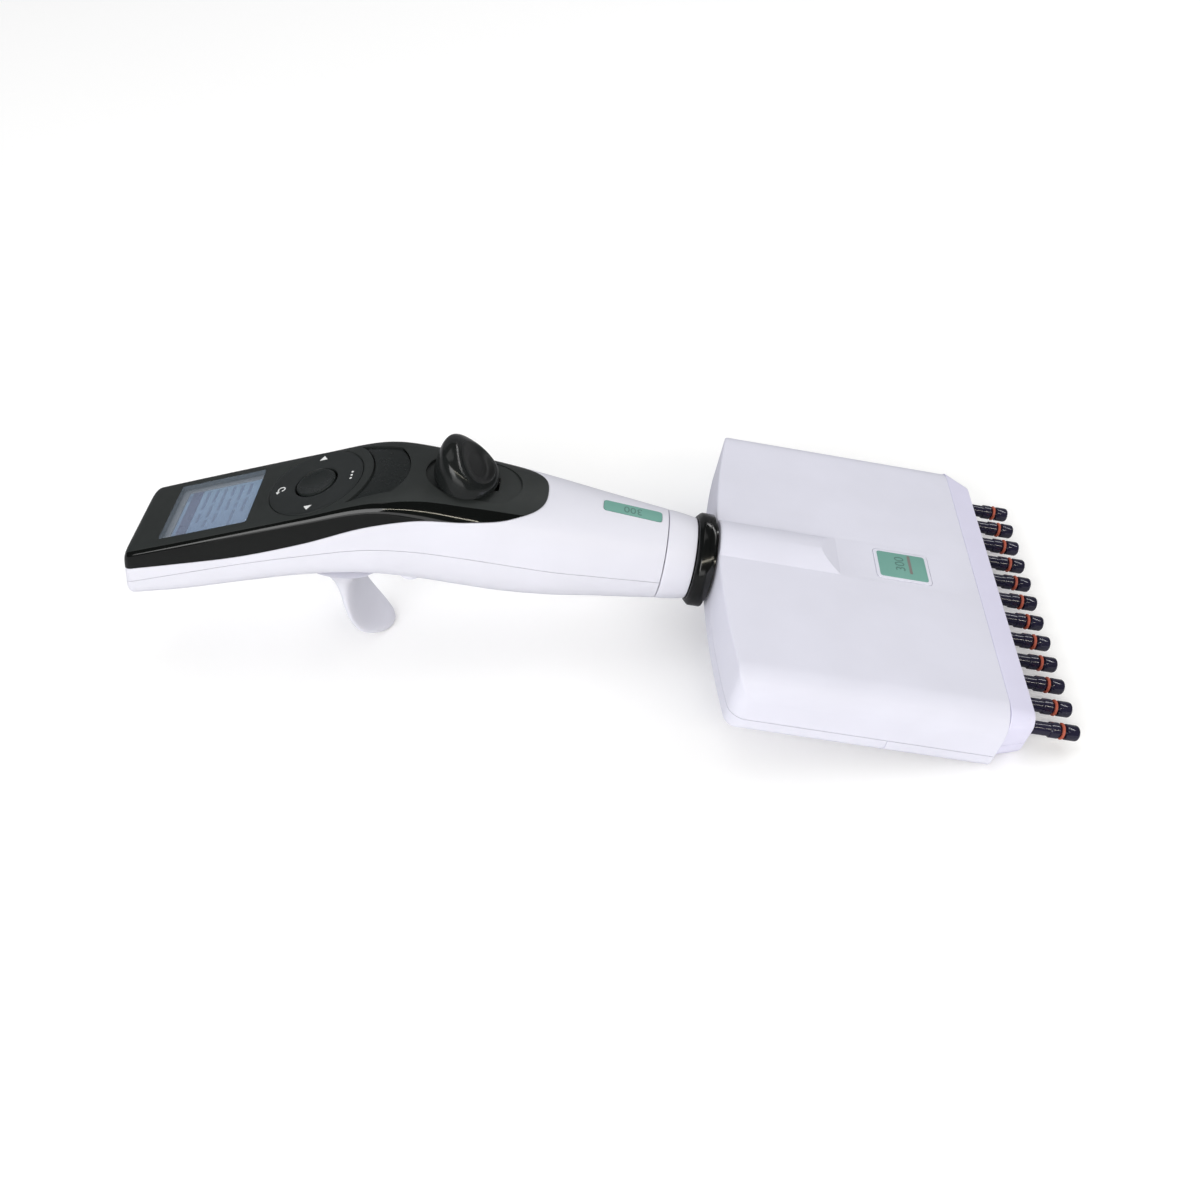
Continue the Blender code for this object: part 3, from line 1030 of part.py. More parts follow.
def build_channels(manifold, paint):
    """The cylinder block, its seal, the pistons on their bar, the guide rods and the nozzles."""
    block_mesh = bmesh.new()
    block_half_width = (-BLOCK_HALF_WIDTH, BLOCK_HALF_WIDTH)
    block_half_height = (-BLOCK_HALF_HEIGHT, BLOCK_HALF_HEIGHT)
    add_box(block_mesh, (BLOCK_BACK_X, BLOCK_TIP_X), block_half_width, block_half_height)
    block = mesh_object("cylinder_block", block_mesh, manifold, paint["grey"])
    pads, cross_holes = bmesh.new(), bmesh.new()
    pad_floor = -HOUSING_HALF_DEPTH + HOUSING_WALL + GAP
    for y in (-COVER_SCREW_Y, COVER_SCREW_Y):
        add_post(pads, BOSS_RADIUS, COVER_SCREW_X, y, (pad_floor, MM - BLOCK_HALF_HEIGHT), FINE_SIDES)
        add_post(cross_holes, SCREW_RADIUS + GAP, COVER_SCREW_X, y,
                 (-HOUSING_HALF_DEPTH, HOUSING_HALF_DEPTH), FINE_SIDES)
    boolean(block, mesh_object("block_pads", pads, manifold), "UNION")

    seal_x = (BLOCK_BACK_X + GAP, BLOCK_BACK_X + GAP + SEAL_STRIP_THICKNESS)
    seal_pocket = bmesh.new()
    add_box(seal_pocket, (BLOCK_BACK_X - MM, seal_x[1] + GAP),
            (-SEAL_STRIP_HALF_LENGTH - GAP, SEAL_STRIP_HALF_LENGTH + GAP),
            (-SEAL_STRIP_HALF_HEIGHT - GAP, SEAL_STRIP_HALF_HEIGHT + GAP))
    bores, pistons = bmesh.new(), bmesh.new()
    piston_x = (BAR_TIP_X + 2 * GAP, seal_x[1] + 2 * GAP)
    for y in CHANNEL_Y:
        add_rod(bores, BORE_RADIUS, (BAR_TIP_X, BLOCK_TIP_X + MM), y, sides=FINE_SIDES)
        add_rod(pistons, PISTON_RADIUS, piston_x, y, sides=FINE_SIDES)
    bore_cutter = mesh_object("bores", bores, manifold)
    rod_hole = GUIDE_ROD_RADIUS + GAP
    rod_tip = BLOCK_BACK_X + GUIDE_ROD_SEAT
    rod_holes = bmesh.new()
    for i, y in enumerate((-GUIDE_ROD_Y, GUIDE_ROD_Y)):
        rod = bmesh.new()
        add_rod(rod, GUIDE_ROD_RADIUS, (roof_x(y) + HOUSING_WALL + GAP, rod_tip), sides=FINE_SIDES)
        mesh_object(f"guide_rod_{i + 1}", rod, manifold, paint["steel"], (0, y, 0))
        add_rod(rod_holes, rod_hole, (HOUSING_NECK_X, rod_tip + GAP), y, sides=FINE_SIDES)
    rod_cutter = mesh_object("rod_holes", rod_holes, manifold)
    for cutter in (mesh_object("seal_pocket", seal_pocket, manifold), bore_cutter, rod_cutter,
                   mesh_object("cross_holes", cross_holes, manifold)):
        boolean(block, cutter, "DIFFERENCE")

    plate_mesh, seal_mesh = bmesh.new(), bmesh.new()
    add_box(plate_mesh, (SEAL_PLATE_BACK_X, SEAL_PLATE_BACK_X + SEAL_PLATE_THICKNESS), block_half_width,
            block_half_height)
    add_box(seal_mesh, seal_x, (-SEAL_STRIP_HALF_LENGTH, SEAL_STRIP_HALF_LENGTH),
            (-SEAL_STRIP_HALF_HEIGHT, SEAL_STRIP_HALF_HEIGHT))
    for made in (mesh_object("seal_plate", plate_mesh, manifold, paint["aluminium"]),
                 mesh_object("piston_seal", seal_mesh, manifold, paint["rubber"])):
        boolean(made, bore_cutter, "DIFFERENCE")
        boolean(made, rod_cutter, "DIFFERENCE")

    comb_mesh = bmesh.new()
    add_box(comb_mesh, (BAR_TIP_X + GAP, COMB_TIP_X), (-BAR_HALF_LENGTH, BAR_HALF_LENGTH),
            (-COMB_HALF_HEIGHT, COMB_HALF_HEIGHT))
    comb = mesh_object("piston_comb", comb_mesh, manifold, paint["steel"])
    boolean(comb, mesh_object("piston_rods", pistons, manifold), "UNION")
    boolean(comb, rod_cutter, "DIFFERENCE")

    bar_mesh = bmesh.new()
    add_box(bar_mesh, (BAR_BACK_X, BAR_TIP_X), (-BAR_HALF_LENGTH, BAR_HALF_LENGTH),
            (-BAR_HALF_HEIGHT, BAR_HALF_HEIGHT))
    bar = mesh_object("piston_bar", bar_mesh, manifold, paint["aluminium"])
    plate_pocket = COUPLING_PLATE_RADIUS + GAP
    boss = bmesh.new()
    add_rod(boss, plate_pocket + COUPLING_BOSS_WALL, (BAR_BACK_X + GAP, BAR_TIP_X - GAP))
    boolean(bar, mesh_object("bar_boss", boss, manifold), "UNION")
    plate_hole, knob_hole = bmesh.new(), bmesh.new()
    add_rod(plate_hole, plate_pocket, (BAR_BACK_X - MM, BAR_BACK_X + COUPLING_PLATE_THICKNESS + GAP))
    add_rod(knob_hole, KNOB_RADIUS + GAP, (BAR_BACK_X - MM, BAR_BACK_X + KNOB_POCKET_DEPTH))
    boolean(bar, mesh_object("plate_hole", plate_hole, manifold), "DIFFERENCE")
    boolean(bar, mesh_object("knob_hole", knob_hole, manifold), "DIFFERENCE")
    boolean(bar, rod_cutter, "DIFFERENCE")
    turned("coupling_plate", ring_outline(COUPLING_PLATE_RADIUS, SCREW_ROD_RADIUS + GAP,
                                          (BAR_BACK_X, BAR_BACK_X + COUPLING_PLATE_THICKNESS)),
           manifold, paint["steel"])

    shank = BORE_RADIUS - GAP
    groove = RING_GROOVE_RADIUS
    crown = groove + 2 * RING_TUBE_RADIUS
    shank_tip = BLOCK_TIP_X + GAP
    sleeve_tip = NOZZLE_TIP_X - NOZZLE_TIP_CHAMFER
    outline = [
        (NOZZLE_TIP_X, NOZZLE_RADIUS - NOZZLE_TIP_CHAMFER), (sleeve_tip, NOZZLE_RADIUS),
        (RING_GROOVE_HALF, NOZZLE_RADIUS), (RING_GROOVE_HALF, groove),
        (RING_TUBE_RADIUS, crown), (-RING_TUBE_RADIUS, crown), (-RING_GROOVE_HALF, groove),
        (-RING_GROOVE_HALF, NOZZLE_RADIUS),
        (shank_tip, NOZZLE_RADIUS), (shank_tip, shank), (shank_tip - NOZZLE_SHANK_LENGTH, shank),
        (shank_tip - NOZZLE_SHANK_LENGTH, NOZZLE_BORE_RADIUS), (NOZZLE_TIP_X, NOZZLE_BORE_RADIUS)]
    mesh = None
    for i, y in enumerate(CHANNEL_Y):
        made = turned(f"nozzle_{i + 1:02d}", outline, manifold, paint["nozzle"], sides=FINE_SIDES,
                      location=(0, y, 0), mesh=mesh)
        mesh = made.data


def shroud_ring(x, half_width, bottom, top, corner):
    """One rounded rectangle of the ejector shroud."""
    steps = 4
    ring = []
    corners = ((half_width - corner, top - corner, 0), (-half_width + corner, top - corner, 1),
               (-half_width + corner, bottom + corner, 2), (half_width - corner, bottom + corner, 3))
    for y, z, quarter in corners:
        for i in range(steps + 1):
            angle = math.pi / 2 * (quarter + i / steps)
            ring.append((x, y + corner * math.cos(angle), z + corner * math.sin(angle)))
    return ring


def build_ejector(manifold, paint):
    """The shroud that pushes the tips off, and the frame that drives it."""
    bm = bmesh.new()
    half = HOUSING_HALF_WIDTH - SHROUD_SIDE_STEP
    bottom = -HOUSING_HALF_DEPTH + SHROUD_SIDE_STEP
    top = HOUSING_HALF_DEPTH - SHROUD_TOP_STEP
    corner = SHROUD_CORNER
    add_loft(bm, [
        shroud_ring(SHROUD_BACK_X, half, bottom, top, corner),
        shroud_ring(SHROUD_TIP_X, half - SHROUD_TAPER, SHROUD_TIP_BOTTOM, SHROUD_TIP_TOP, corner - MM)])
    shroud = mesh_object("ejector_shroud", bm, manifold, paint["white"])
    skirt = bmesh.new()
    skirt_half_height = HOUSING_HALF_DEPTH - HOUSING_WALL - GAP
    add_box(skirt, (SHROUD_BACK_X - SHROUD_SKIRT_LENGTH, SHROUD_BACK_X + MM),
            (-SHROUD_SKIRT_HALF_WIDTH, SHROUD_SKIRT_HALF_WIDTH), (-skirt_half_height, skirt_half_height))
    boolean(shroud, mesh_object("shroud_skirt", skirt, manifold), "UNION")
    cavity = bmesh.new()
    add_box(cavity, (SHROUD_BACK_X - 2 * SHROUD_SKIRT_LENGTH, SHROUD_TIP_X - SHROUD_END_WALL),
            (-BLOCK_HALF_WIDTH - GAP, BLOCK_HALF_WIDTH + GAP),
            (-SHROUD_CAVITY_HALF_HEIGHT, SHROUD_CAVITY_HALF_HEIGHT))
    boolean(shroud, mesh_object("shroud_cavity", cavity, manifold), "DIFFERENCE")
    windows = bmesh.new()
    for y in CHANNEL_Y:
        add_rod(windows, NOZZLE_WINDOW_RADIUS, (SHROUD_TIP_X - 2 * SHROUD_END_WALL, SHROUD_TIP_X + MM),
                y, sides=FINE_SIDES)
    boolean(shroud, mesh_object("nozzle_windows", windows, manifold), "DIFFERENCE")

    crossbar_tip = CROSSBAR_BACK_X + CROSSBAR_THICKNESS
    frame_mesh = bmesh.new()
    add_box(frame_mesh, (CROSSBAR_BACK_X, crossbar_tip), (-ARM_OUTER_Y, ARM_OUTER_Y),
            (-CROSSBAR_HALF_HEIGHT, CROSSBAR_HALF_HEIGHT))
    frame = mesh_object("ejector_frame", frame_mesh, manifold, paint["grey"])
    extras = bmesh.new()
    add_rod(extras, SLEEVE_RADIUS, (SLEEVE_BACK_X, crossbar_tip))
    for side in (-1, 1):
        arm = sorted((side * ARM_OUTER_Y, side * (ARM_OUTER_Y - ARM_THICKNESS)))
        add_box(extras, (CROSSBAR_BACK_X, SHROUD_BACK_X - GAP), arm,
                (-CROSSBAR_HALF_HEIGHT, CROSSBAR_HALF_HEIGHT))
    boolean(frame, mesh_object("sleeve_and_arms", extras, manifold), "UNION")
    holes = bmesh.new()
    add_rod(holes, SLEEVE_BORE, (SLEEVE_BACK_X - MM, crossbar_tip + MM))
    for y in (-GUIDE_ROD_Y, GUIDE_ROD_Y):
        add_rod(holes, GUIDE_ROD_RADIUS + GAP, (CROSSBAR_BACK_X - MM, crossbar_tip + MM), y,
                sides=FINE_SIDES)
    boolean(frame, mesh_object("frame_holes", holes, manifold), "DIFFERENCE")


def paints():
    """Every finish of the pipette."""
    return {
        "white": finish("white_plastic", (0.69, 0.69, 0.76), 0.4),
        "black": finish("black_plastic", (0.03, 0.033, 0.033), 0.3),
        "wheel": finish("satin_black_plastic", (0.05, 0.054, 0.056), 0.45),
        "teal": finish("teal_plastic", (0.14, 0.35, 0.31), 0.45),
        "glass": finish("window_glass", (0.3, 0.38, 0.5), 0.08, alpha=0.35),
        "display": finish("display_panel", (0.25, 0.35, 0.5), 0.3),
        "board": finish("circuit_board", (0.02, 0.16, 0.06), 0.5),
        "battery": finish("battery_wrap", (0.08, 0.12, 0.3), 0.45),
        "rubber": finish("silicone_rubber", (0.12, 0.12, 0.13), 0.8),
        "grey": finish("grey_polymer", (0.35, 0.36, 0.38), 0.5),
        "can": finish("motor_can", (0.5, 0.5, 0.5), 0.35, 1.0),
        "steel": finish("steel", (0.6, 0.6, 0.62), 0.25, 1.0),
        "brass": finish("brass", (0.75, 0.55, 0.25), 0.3, 1.0),
        "aluminium": finish("aluminium", (0.75, 0.76, 0.78), 0.4, 1.0),
        "nozzle": finish("black_nozzle", (0.02, 0.02, 0.035), 0.25),
    }


def stand_on_table(root):
    """Move the root so that the bottom centre of the whole pipette is the world's origin."""
    depsgraph = bpy.context.evaluated_depsgraph_get()
    low = Vector((math.inf,) * 3)
    high = Vector((-math.inf,) * 3)
    for part in part_collection.objects:
        if part.type not in {"MESH", "CURVE"}:
            continue
        evaluated = part.evaluated_get(depsgraph)
        mesh = evaluated.to_mesh()
        for vertex in mesh.vertices:
            point = evaluated.matrix_world @ vertex.co
            low = Vector(map(min, low, point))
            high = Vector(map(max, high, point))
        evaluated.to_mesh_clear()
    middle = (low + high) / 2
    root.location -= Vector((middle.x, middle.y, low.z))
    bpy.context.view_layer.update()


def main():
    """Build the pipette."""
    start_scene()
    paint = paints()
    root = empty("pipette_axis", rotation=(0, resting_tilt(), 0))
    head = empty("display_head", root, (HEAD_ORIGIN_X, 0, HEAD_ORIGIN_Z), (0, -math.atan(HEAD_SLOPE), 0))
    manifold = empty("manifold_swivel", root)
    build_handle_shells(root, head, paint)
    build_face_controls(head, root, paint)
    build_thumb_slide(root, paint)
    build_drive(root, paint)
    build_neck(root, manifold, paint)
    build_covers(manifold, paint)
    build_channels(manifold, paint)
    build_ejector(manifold, paint)
    bpy.context.view_layer.update()
    stand_on_table(root)


main()
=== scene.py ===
"""The looks of an electronic multichannel pipette that lies at rest on a pale table.

Every piece is built in millimetres on the pipette's own axis: +X runs towards the nozzles with x = 0 at
the sealing rings, +Z leaves the front face and z = 0 is the axis that the manifold swivels about. The
pieces are then placed with the resting pose of the frame, and each one rides on its own body.
"""

import json
import logging
import math
from collections.abc import Callable, Iterable, Sequence
from dataclasses import dataclass, field
from enum import Enum

import bmesh
import bpy
from mathutils import Matrix, Vector

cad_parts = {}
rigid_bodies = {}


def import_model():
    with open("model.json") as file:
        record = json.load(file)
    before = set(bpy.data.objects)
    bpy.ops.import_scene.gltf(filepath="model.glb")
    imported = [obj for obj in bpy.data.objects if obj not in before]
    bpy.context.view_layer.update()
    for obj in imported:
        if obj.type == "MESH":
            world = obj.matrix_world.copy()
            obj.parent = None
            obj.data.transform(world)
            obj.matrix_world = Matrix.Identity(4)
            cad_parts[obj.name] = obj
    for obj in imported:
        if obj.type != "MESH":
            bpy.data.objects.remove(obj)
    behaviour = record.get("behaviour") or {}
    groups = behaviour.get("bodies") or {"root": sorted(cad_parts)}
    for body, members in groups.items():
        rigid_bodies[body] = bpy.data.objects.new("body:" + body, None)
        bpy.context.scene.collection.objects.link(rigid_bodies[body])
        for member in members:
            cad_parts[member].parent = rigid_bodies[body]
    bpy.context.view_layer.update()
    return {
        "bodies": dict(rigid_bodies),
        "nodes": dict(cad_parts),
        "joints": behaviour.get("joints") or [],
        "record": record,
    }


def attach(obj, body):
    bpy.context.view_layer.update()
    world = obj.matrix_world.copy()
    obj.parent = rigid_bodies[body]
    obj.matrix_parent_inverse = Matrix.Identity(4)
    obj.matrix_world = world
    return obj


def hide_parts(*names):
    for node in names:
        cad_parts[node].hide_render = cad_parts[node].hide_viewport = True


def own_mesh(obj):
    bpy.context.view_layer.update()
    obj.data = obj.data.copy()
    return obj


LOG = logging.getLogger("pipette")
MM = 0.001
Pair = tuple[float, float]
Point = tuple[float, float, float]
Colour = tuple[float, float, float]

# The pipette's axis as it lies at rest, and the head's own frame, which slopes down from it
AXIS = Matrix((
    (0.979301, 0.0, 0.202408, 0.135478),
    (0.0, 1.0, 0.0, 0.0),
    (-0.202408, 0.0, 0.979301, 0.005806),
    (0.0, 0.0, 0.0, 1.0),
))
HEAD_SLOPE = 0.474
HEAD_START = (-0.273, 0.0, -0.0187)
HEAD_ON_AXIS = Matrix.Translation(HEAD_START) @ Matrix.Rotation(-math.atan(HEAD_SLOPE), 4, "Y")
HEAD = AXIS @ HEAD_ON_AXIS

# The sizes of the patterns in the finishes, in millimetres, and the spans of noise that they use
DRIFT_MM = 22.0
DRIFT_SPAN = (0.32, 0.62)
SMEAR_MM = 6.0
SMEAR_SPAN = (0.3, 0.7)
WAVE_MM = 3.0
# How much closer the relief of brushed and turned metal repeats along the axis
BRUSHED_STRETCH = 0.02
TURNED_STRETCH = 6.0
# The depth of the relief and the reach of light under a moulding's skin, in metres
RELIEF_DEPTH = 0.00004
SCATTER_DEPTH = 0.0008


def add_node(tree: bpy.types.NodeTree, kind: str, inputs: dict[str | int, object] | None = None,
             **settings: str | float) -> bpy.types.Node:
    """Add a node to a tree, with its settings and the values of its unlinked inputs.

    Args:
        tree: The tree that gets the node.
        kind: The node's type.
        inputs: The values, by the name or the number of the input.
        settings: The node's own settings, such as its operation.

    Returns:
        The new node.
    """
    node = tree.nodes.new(kind)
    for name, value in settings.items():
        setattr(node, name, value)
    for key, value in (inputs or {}).items():
        node.inputs[key].default_value = value
    return node


def new_material(name: str) -> bpy.types.Material:
    """Make a material with nodes.

    Args:
        name: The material's name.

    Returns:
        The material, with its principled shader in place.
    """
    made = bpy.data.materials.new(name)
    made.use_nodes = True
    return made


class Grain(Enum):
    """How the surface of a finish is textured."""

    SMOOTH = "smooth"
    SPARK = "spark"
    BRUSHED = "brushed"
    TURNED = "turned"


@dataclass(frozen=True)
class Finish:
    """A solid finish: its colours, gloss, fine relief and the record's slot that it stands for."""

    name: str
    light: Colour
    dark: Colour
    rough_low: float
    rough_high: float
    grain: Grain = Grain.SPARK
    relief: float = 0.1
    grain_size: float = 0.35
    metallic: float = 0.0
    coat: float = 0.0
    coat_roughness: float = 0.1
    specular: float = 0.5
    subsurface: float = 0.0
    alpha: float = 1.0
    slot: str = ""

    def material(self) -> bpy.types.Material:
        """Build the material, or find it again.

        Returns:
            The node material of this finish.
        """
        if self.name in bpy.data.materials:
            return bpy.data.materials[self.name]
        made = new_material(self.name)
        tree = made.node_tree
        shader = tree.nodes["Principled BSDF"]
        values = {"Metallic": self.metallic, "Coat Weight": self.coat, "Coat Roughness": self.coat_roughness,
                  "Specular IOR Level": self.specular, "Alpha": self.alpha}
        if self.subsurface:
            values |= {"Subsurface Weight": self.subsurface, "Subsurface Radius": (1.0, 1.0, 1.0),
                       "Subsurface Scale": SCATTER_DEPTH}
        for name, value in values.items():
            shader.inputs[name].default_value = value
        place = add_node(tree, "ShaderNodeTexCoord").outputs["Object"]
        self._colour(tree, shader, place)
        self._gloss(tree, shader, place)
        self._relief(tree, shader, place)
        return made

    def _noise(self, tree: bpy.types.NodeTree, place: bpy.types.NodeSocket, size_mm: float,
               detail: float = 3.0) -> bpy.types.NodeSocket:
        """Add a noise.

        Args:
            tree: The material's node tree.
            place: The coordinates that the noise reads.
            size_mm: The width of one of its features.
            detail: How many finer layers it has.

        Returns:
            Its value, 0 to 1.
        """
        noise = add_node(tree, "ShaderNodeTexNoise", {"Scale": 1.0 / MM / size_mm, "Detail": detail})
        tree.links.new(place, noise.inputs["Vector"])
        return noise.outputs["Fac"]

    def _colour(self, tree: bpy.types.NodeTree, shader: bpy.types.Node, place: bpy.types.NodeSocket) -> None:
        """Let the colour drift between the light and the dark tone, as handled plastic does.

        Args:
            tree: The node tree.
            shader: The shader.
            place: The coordinates to read.
        """
        ramp = add_node(tree, "ShaderNodeValToRGB")
        for stop, position, tone in zip(ramp.color_ramp.elements, DRIFT_SPAN, (self.dark, self.light)):
            stop.position = position
            stop.color = (*tone, 1.0)
        tree.links.new(self._noise(tree, place, DRIFT_MM), ramp.inputs["Fac"])
        tree.links.new(ramp.outputs["Color"], shader.inputs["Base Color"])

    def _gloss(self, tree: bpy.types.NodeTree, shader: bpy.types.Node, place: bpy.types.NodeSocket) -> None:
        """Vary the roughness with faint smears where hands touch the piece.

        Args:
            tree: The node tree.
            shader: The shader.
            place: The coordinates to read.
        """
        low, high = SMEAR_SPAN
        span = add_node(tree, "ShaderNodeMapRange", {"From Min": low, "From Max": high,
                                                     "To Min": self.rough_low, "To Max": self.rough_high})
        tree.links.new(self._noise(tree, place, SMEAR_MM, 5.0), span.inputs["Value"])
        tree.links.new(span.outputs["Result"], shader.inputs["Roughness"])

    def _relief(self, tree: bpy.types.NodeTree, shader: bpy.types.Node, place: bpy.types.NodeSocket) -> None:
        """Add the fine relief: moulded spark, brushing along the axis or turning marks.

        Args:
            tree: The node tree.
            shader: The shader.
            place: The coordinates to read.
        """
        if self.grain is Grain.SMOOTH:
            height = self._noise(tree, place, WAVE_MM, 1.0)
        elif self.grain is Grain.SPARK:
            height = self._noise(tree, place, self.grain_size, 2.0)
        else:
            along = BRUSHED_STRETCH if self.grain is Grain.BRUSHED else TURNED_STRETCH
            stretch = add_node(tree, "ShaderNodeMapping", {"Scale": (along, 1.0, 1.0)})
            tree.links.new(place, stretch.inputs["Vector"])
            height = self._noise(tree, stretch.outputs["Vector"], self.grain_size, 2.0)
        bump = add_node(tree, "ShaderNodeBump", {"Strength": self.relief, "Distance": RELIEF_DEPTH})
        tree.links.new(height, bump.inputs["Height"])
        tree.links.new(bump.outputs["Normal"], shader.inputs["Normal"])


WHITE = Finish("white_moulding", (0.70, 0.70, 0.775), (0.675, 0.675, 0.745), 0.38, 0.48, relief=0.12,
               grain_size=0.3, subsurface=0.05, slot="white_plastic")
COVER = Finish("white_cover", (0.69, 0.69, 0.785), (0.665, 0.665, 0.755), 0.45, 0.56, relief=0.16,
               grain_size=0.3, subsurface=0.05, slot="white_plastic")
# The shroud is the white moulding tinted violet: the tint is painted violet light, the cast on faces that
# turn towards the tips.
SHROUD_PAINTED_VIOLET = Finish("lavender_shroud", (0.735, 0.72, 0.885), (0.71, 0.695, 0.855), 0.3, 0.42, relief=0.1,
                grain_size=0.3, subsurface=0.05, slot="white_plastic")
MATTE_BLACK = Finish("soft_black_face", (0.026, 0.030, 0.0295), (0.021, 0.0245, 0.024), 0.42, 0.52,
                     relief=0.2, grain_size=0.28, specular=0.4, slot="black_plastic")
GLOSS_BLACK = Finish("gloss_black_band", (0.0035, 0.0042, 0.0038), (0.0026, 0.003, 0.0028), 0.07, 0.12,
                     Grain.SMOOTH, relief=0.01, specular=0.45, coat=0.15, coat_roughness=0.04,
                     slot="black_plastic")
WHEEL_BLACK = Finish("satin_black_wheel", (0.022, 0.0255, 0.026), (0.018, 0.021, 0.0215), 0.38, 0.46,
                     relief=0.15, grain_size=0.3, specular=0.4, slot="satin_black_plastic")
KEY_BLACK = Finish("dark_key", (0.016, 0.019, 0.019), (0.013, 0.0155, 0.0155), 0.24, 0.32, relief=0.05,
                   grain_size=0.3, specular=0.45, slot="black_plastic")
COLLAR_BLACK = Finish("collar_black", (0.005, 0.0055, 0.0055), (0.004, 0.0045, 0.0045), 0.12, 0.18,
                      relief=0.008, specular=0.5, slot="black_plastic")
# Dark nozzle plastic whose tone is lifted towards violet: the dark is its own, the violet lift is painted
# sheen.
NOZZLE_BLACK_PAINTED_SHEEN = Finish("gloss_nozzle", (0.017, 0.015, 0.036), (0.012, 0.011, 0.027), 0.11, 0.16, Grain.TURNED,
                      relief=0.015, grain_size=0.5, specular=0.7, coat=0.3, coat_roughness=0.08,
                      slot="black_nozzle")
TEAL = Finish("teal_badge", (0.150, 0.355, 0.300), (0.135, 0.33, 0.280), 0.42, 0.52, relief=0.12,
              grain_size=0.25, slot="teal_plastic")
TEAL_DEEP = Finish("teal_relief", (0.085, 0.20, 0.175), (0.075, 0.18, 0.155), 0.4, 0.5, slot="teal_plastic")
BAR_GREY = Finish("grey_mark", (0.20, 0.185, 0.175), (0.17, 0.16, 0.15), 0.5, 0.6, slot="teal_plastic")
MARK_WHITE = Finish("white_ink", (0.78, 0.79, 0.79), (0.72, 0.73, 0.73), 0.5, 0.6, relief=0.05)
GLASS = Finish("display_glass", (0.42, 0.50, 0.60), (0.38, 0.46, 0.56), 0.03, 0.06, Grain.SMOOTH, relief=0.02,
               specular=0.5, alpha=0.14, slot="window_glass")
RING_RUBBER = Finish("terracotta_rubber", (0.46, 0.095, 0.05), (0.38, 0.075, 0.042), 0.38, 0.5, relief=0.25,
                           grain_size=0.4)
SILICONE = Finish("grey_silicone", (0.12, 0.12, 0.13), (0.10, 0.10, 0.11), 0.7, 0.85, relief=0.3,
                  slot="silicone_rubber")
POLYMER = Finish("grey_polymer_moulding", (0.36, 0.37, 0.39), (0.32, 0.33, 0.35), 0.48, 0.58, relief=0.2,
                 slot="grey_polymer")
STEEL = Finish("ground_steel", (0.58, 0.58, 0.60), (0.50, 0.50, 0.53), 0.2, 0.32, Grain.BRUSHED, relief=0.2,
               metallic=1.0, slot="steel")
CAN = Finish("pressed_motor_can", (0.46, 0.46, 0.47), (0.38, 0.38, 0.40), 0.3, 0.42, Grain.TURNED,
             relief=0.25, metallic=1.0, slot="motor_can")
BRASS = Finish("turned_brass", (0.76, 0.55, 0.26), (0.68, 0.47, 0.20), 0.22, 0.34, Grain.TURNED, relief=0.2,
               metallic=1.0, slot="brass")
ALUMINIUM = Finish("blasted_aluminium", (0.72, 0.73, 0.75), (0.64, 0.65, 0.67), 0.42, 0.55, relief=0.4,
                   grain_size=0.2, metallic=1.0, slot="aluminium")
BOARD = Finish("green_board", (0.016, 0.15, 0.06), (0.010, 0.10, 0.04), 0.35, 0.5, relief=0.3, coat=0.3,
               slot="circuit_board")
WRAP = Finish("blue_shrink_wrap", (0.075, 0.12, 0.33), (0.055, 0.09, 0.26), 0.25, 0.4, Grain.SMOOTH,
              relief=0.3, coat=0.4, slot="battery_wrap")


@dataclass(frozen=True)
class ScreenFinish:
    """The display's face: pale blue, lighter along one side, with a fine raster of cells."""

    name: str = "lit_display"
    pale: Colour = (0.265, 0.385, 0.535)
    deep: Colour = (0.195, 0.275, 0.435)
    cell_mm: float = 0.22
    half_width: float = 0.013
    joint: float = 0.04
    joint_tone: Colour = (0.82, 0.82, 0.86)
    cell_tones: tuple[Colour, Colour] = ((1.0, 1.0, 1.0), (0.97, 0.98, 1.0))

    def material(self) -> bpy.types.Material:
        """Build the display's material.

        Returns:
            A material that shades across the screen and shows its raster close by.
        """
        made = new_material(self.name)
        tree = made.node_tree
        shader = tree.nodes["Principled BSDF"]
        shader.inputs["Roughness"].default_value = 0.22
        shader.inputs["Coat Weight"].default_value = 0.2
        place = add_node(tree, "ShaderNodeTexCoord").outputs["Object"]
        parts = add_node(tree, "ShaderNodeSeparateXYZ")
        tree.links.new(place, parts.inputs["Vector"])
        low, high = -self.half_width, self.half_width
        across = add_node(tree, "ShaderNodeMapRange", {"From Min": low, "From Max": high})
        tree.links.new(parts.outputs["Y"], across.inputs["Value"])
        shade = add_node(tree, "ShaderNodeValToRGB")
        for stop, tone in zip(shade.color_ramp.elements, (self.deep, self.pale)):
            stop.color = (*tone, 1.0)
        tree.links.new(across.outputs["Result"], shade.inputs["Fac"])
        raster = add_node(tree, "ShaderNodeTexBrick", {
            "Scale": 1.0 / (self.cell_mm * MM), "Mortar Size": self.joint, "Brick Width": 1.0,
            "Row Height": 1.0, "Mortar": (*self.joint_tone, 1.0), "Color1": (*self.cell_tones[0], 1.0),
            "Color2": (*self.cell_tones[1], 1.0)}, offset=0.0)
        tree.links.new(place, raster.inputs["Vector"])
        mix = add_node(tree, "ShaderNodeMix", {"Factor": 1.0}, data_type="RGBA", blend_type="MULTIPLY")
        tree.links.new(shade.outputs["Color"], mix.inputs["A"])
        tree.links.new(raster.outputs["Color"], mix.inputs["B"])
        tree.links.new(mix.outputs["Result"], shader.inputs["Base Color"])
        return made


SCREEN_BAND = Finish("display_band", (0.118, 0.135, 0.235), (0.105, 0.12, 0.215), 0.25, 0.35, relief=0.03,
                     slot="display_panel")
SCREEN_BORDER = Finish("display_border", (0.215, 0.225, 0.245), (0.19, 0.20, 0.22), 0.4, 0.5, relief=0.05,
                       slot="display_panel")
SCREEN_INK = Finish("display_ink", (0.155, 0.21, 0.34), (0.145, 0.195, 0.325), 0.3, 0.4, relief=0.02,
                    slot="display_panel")


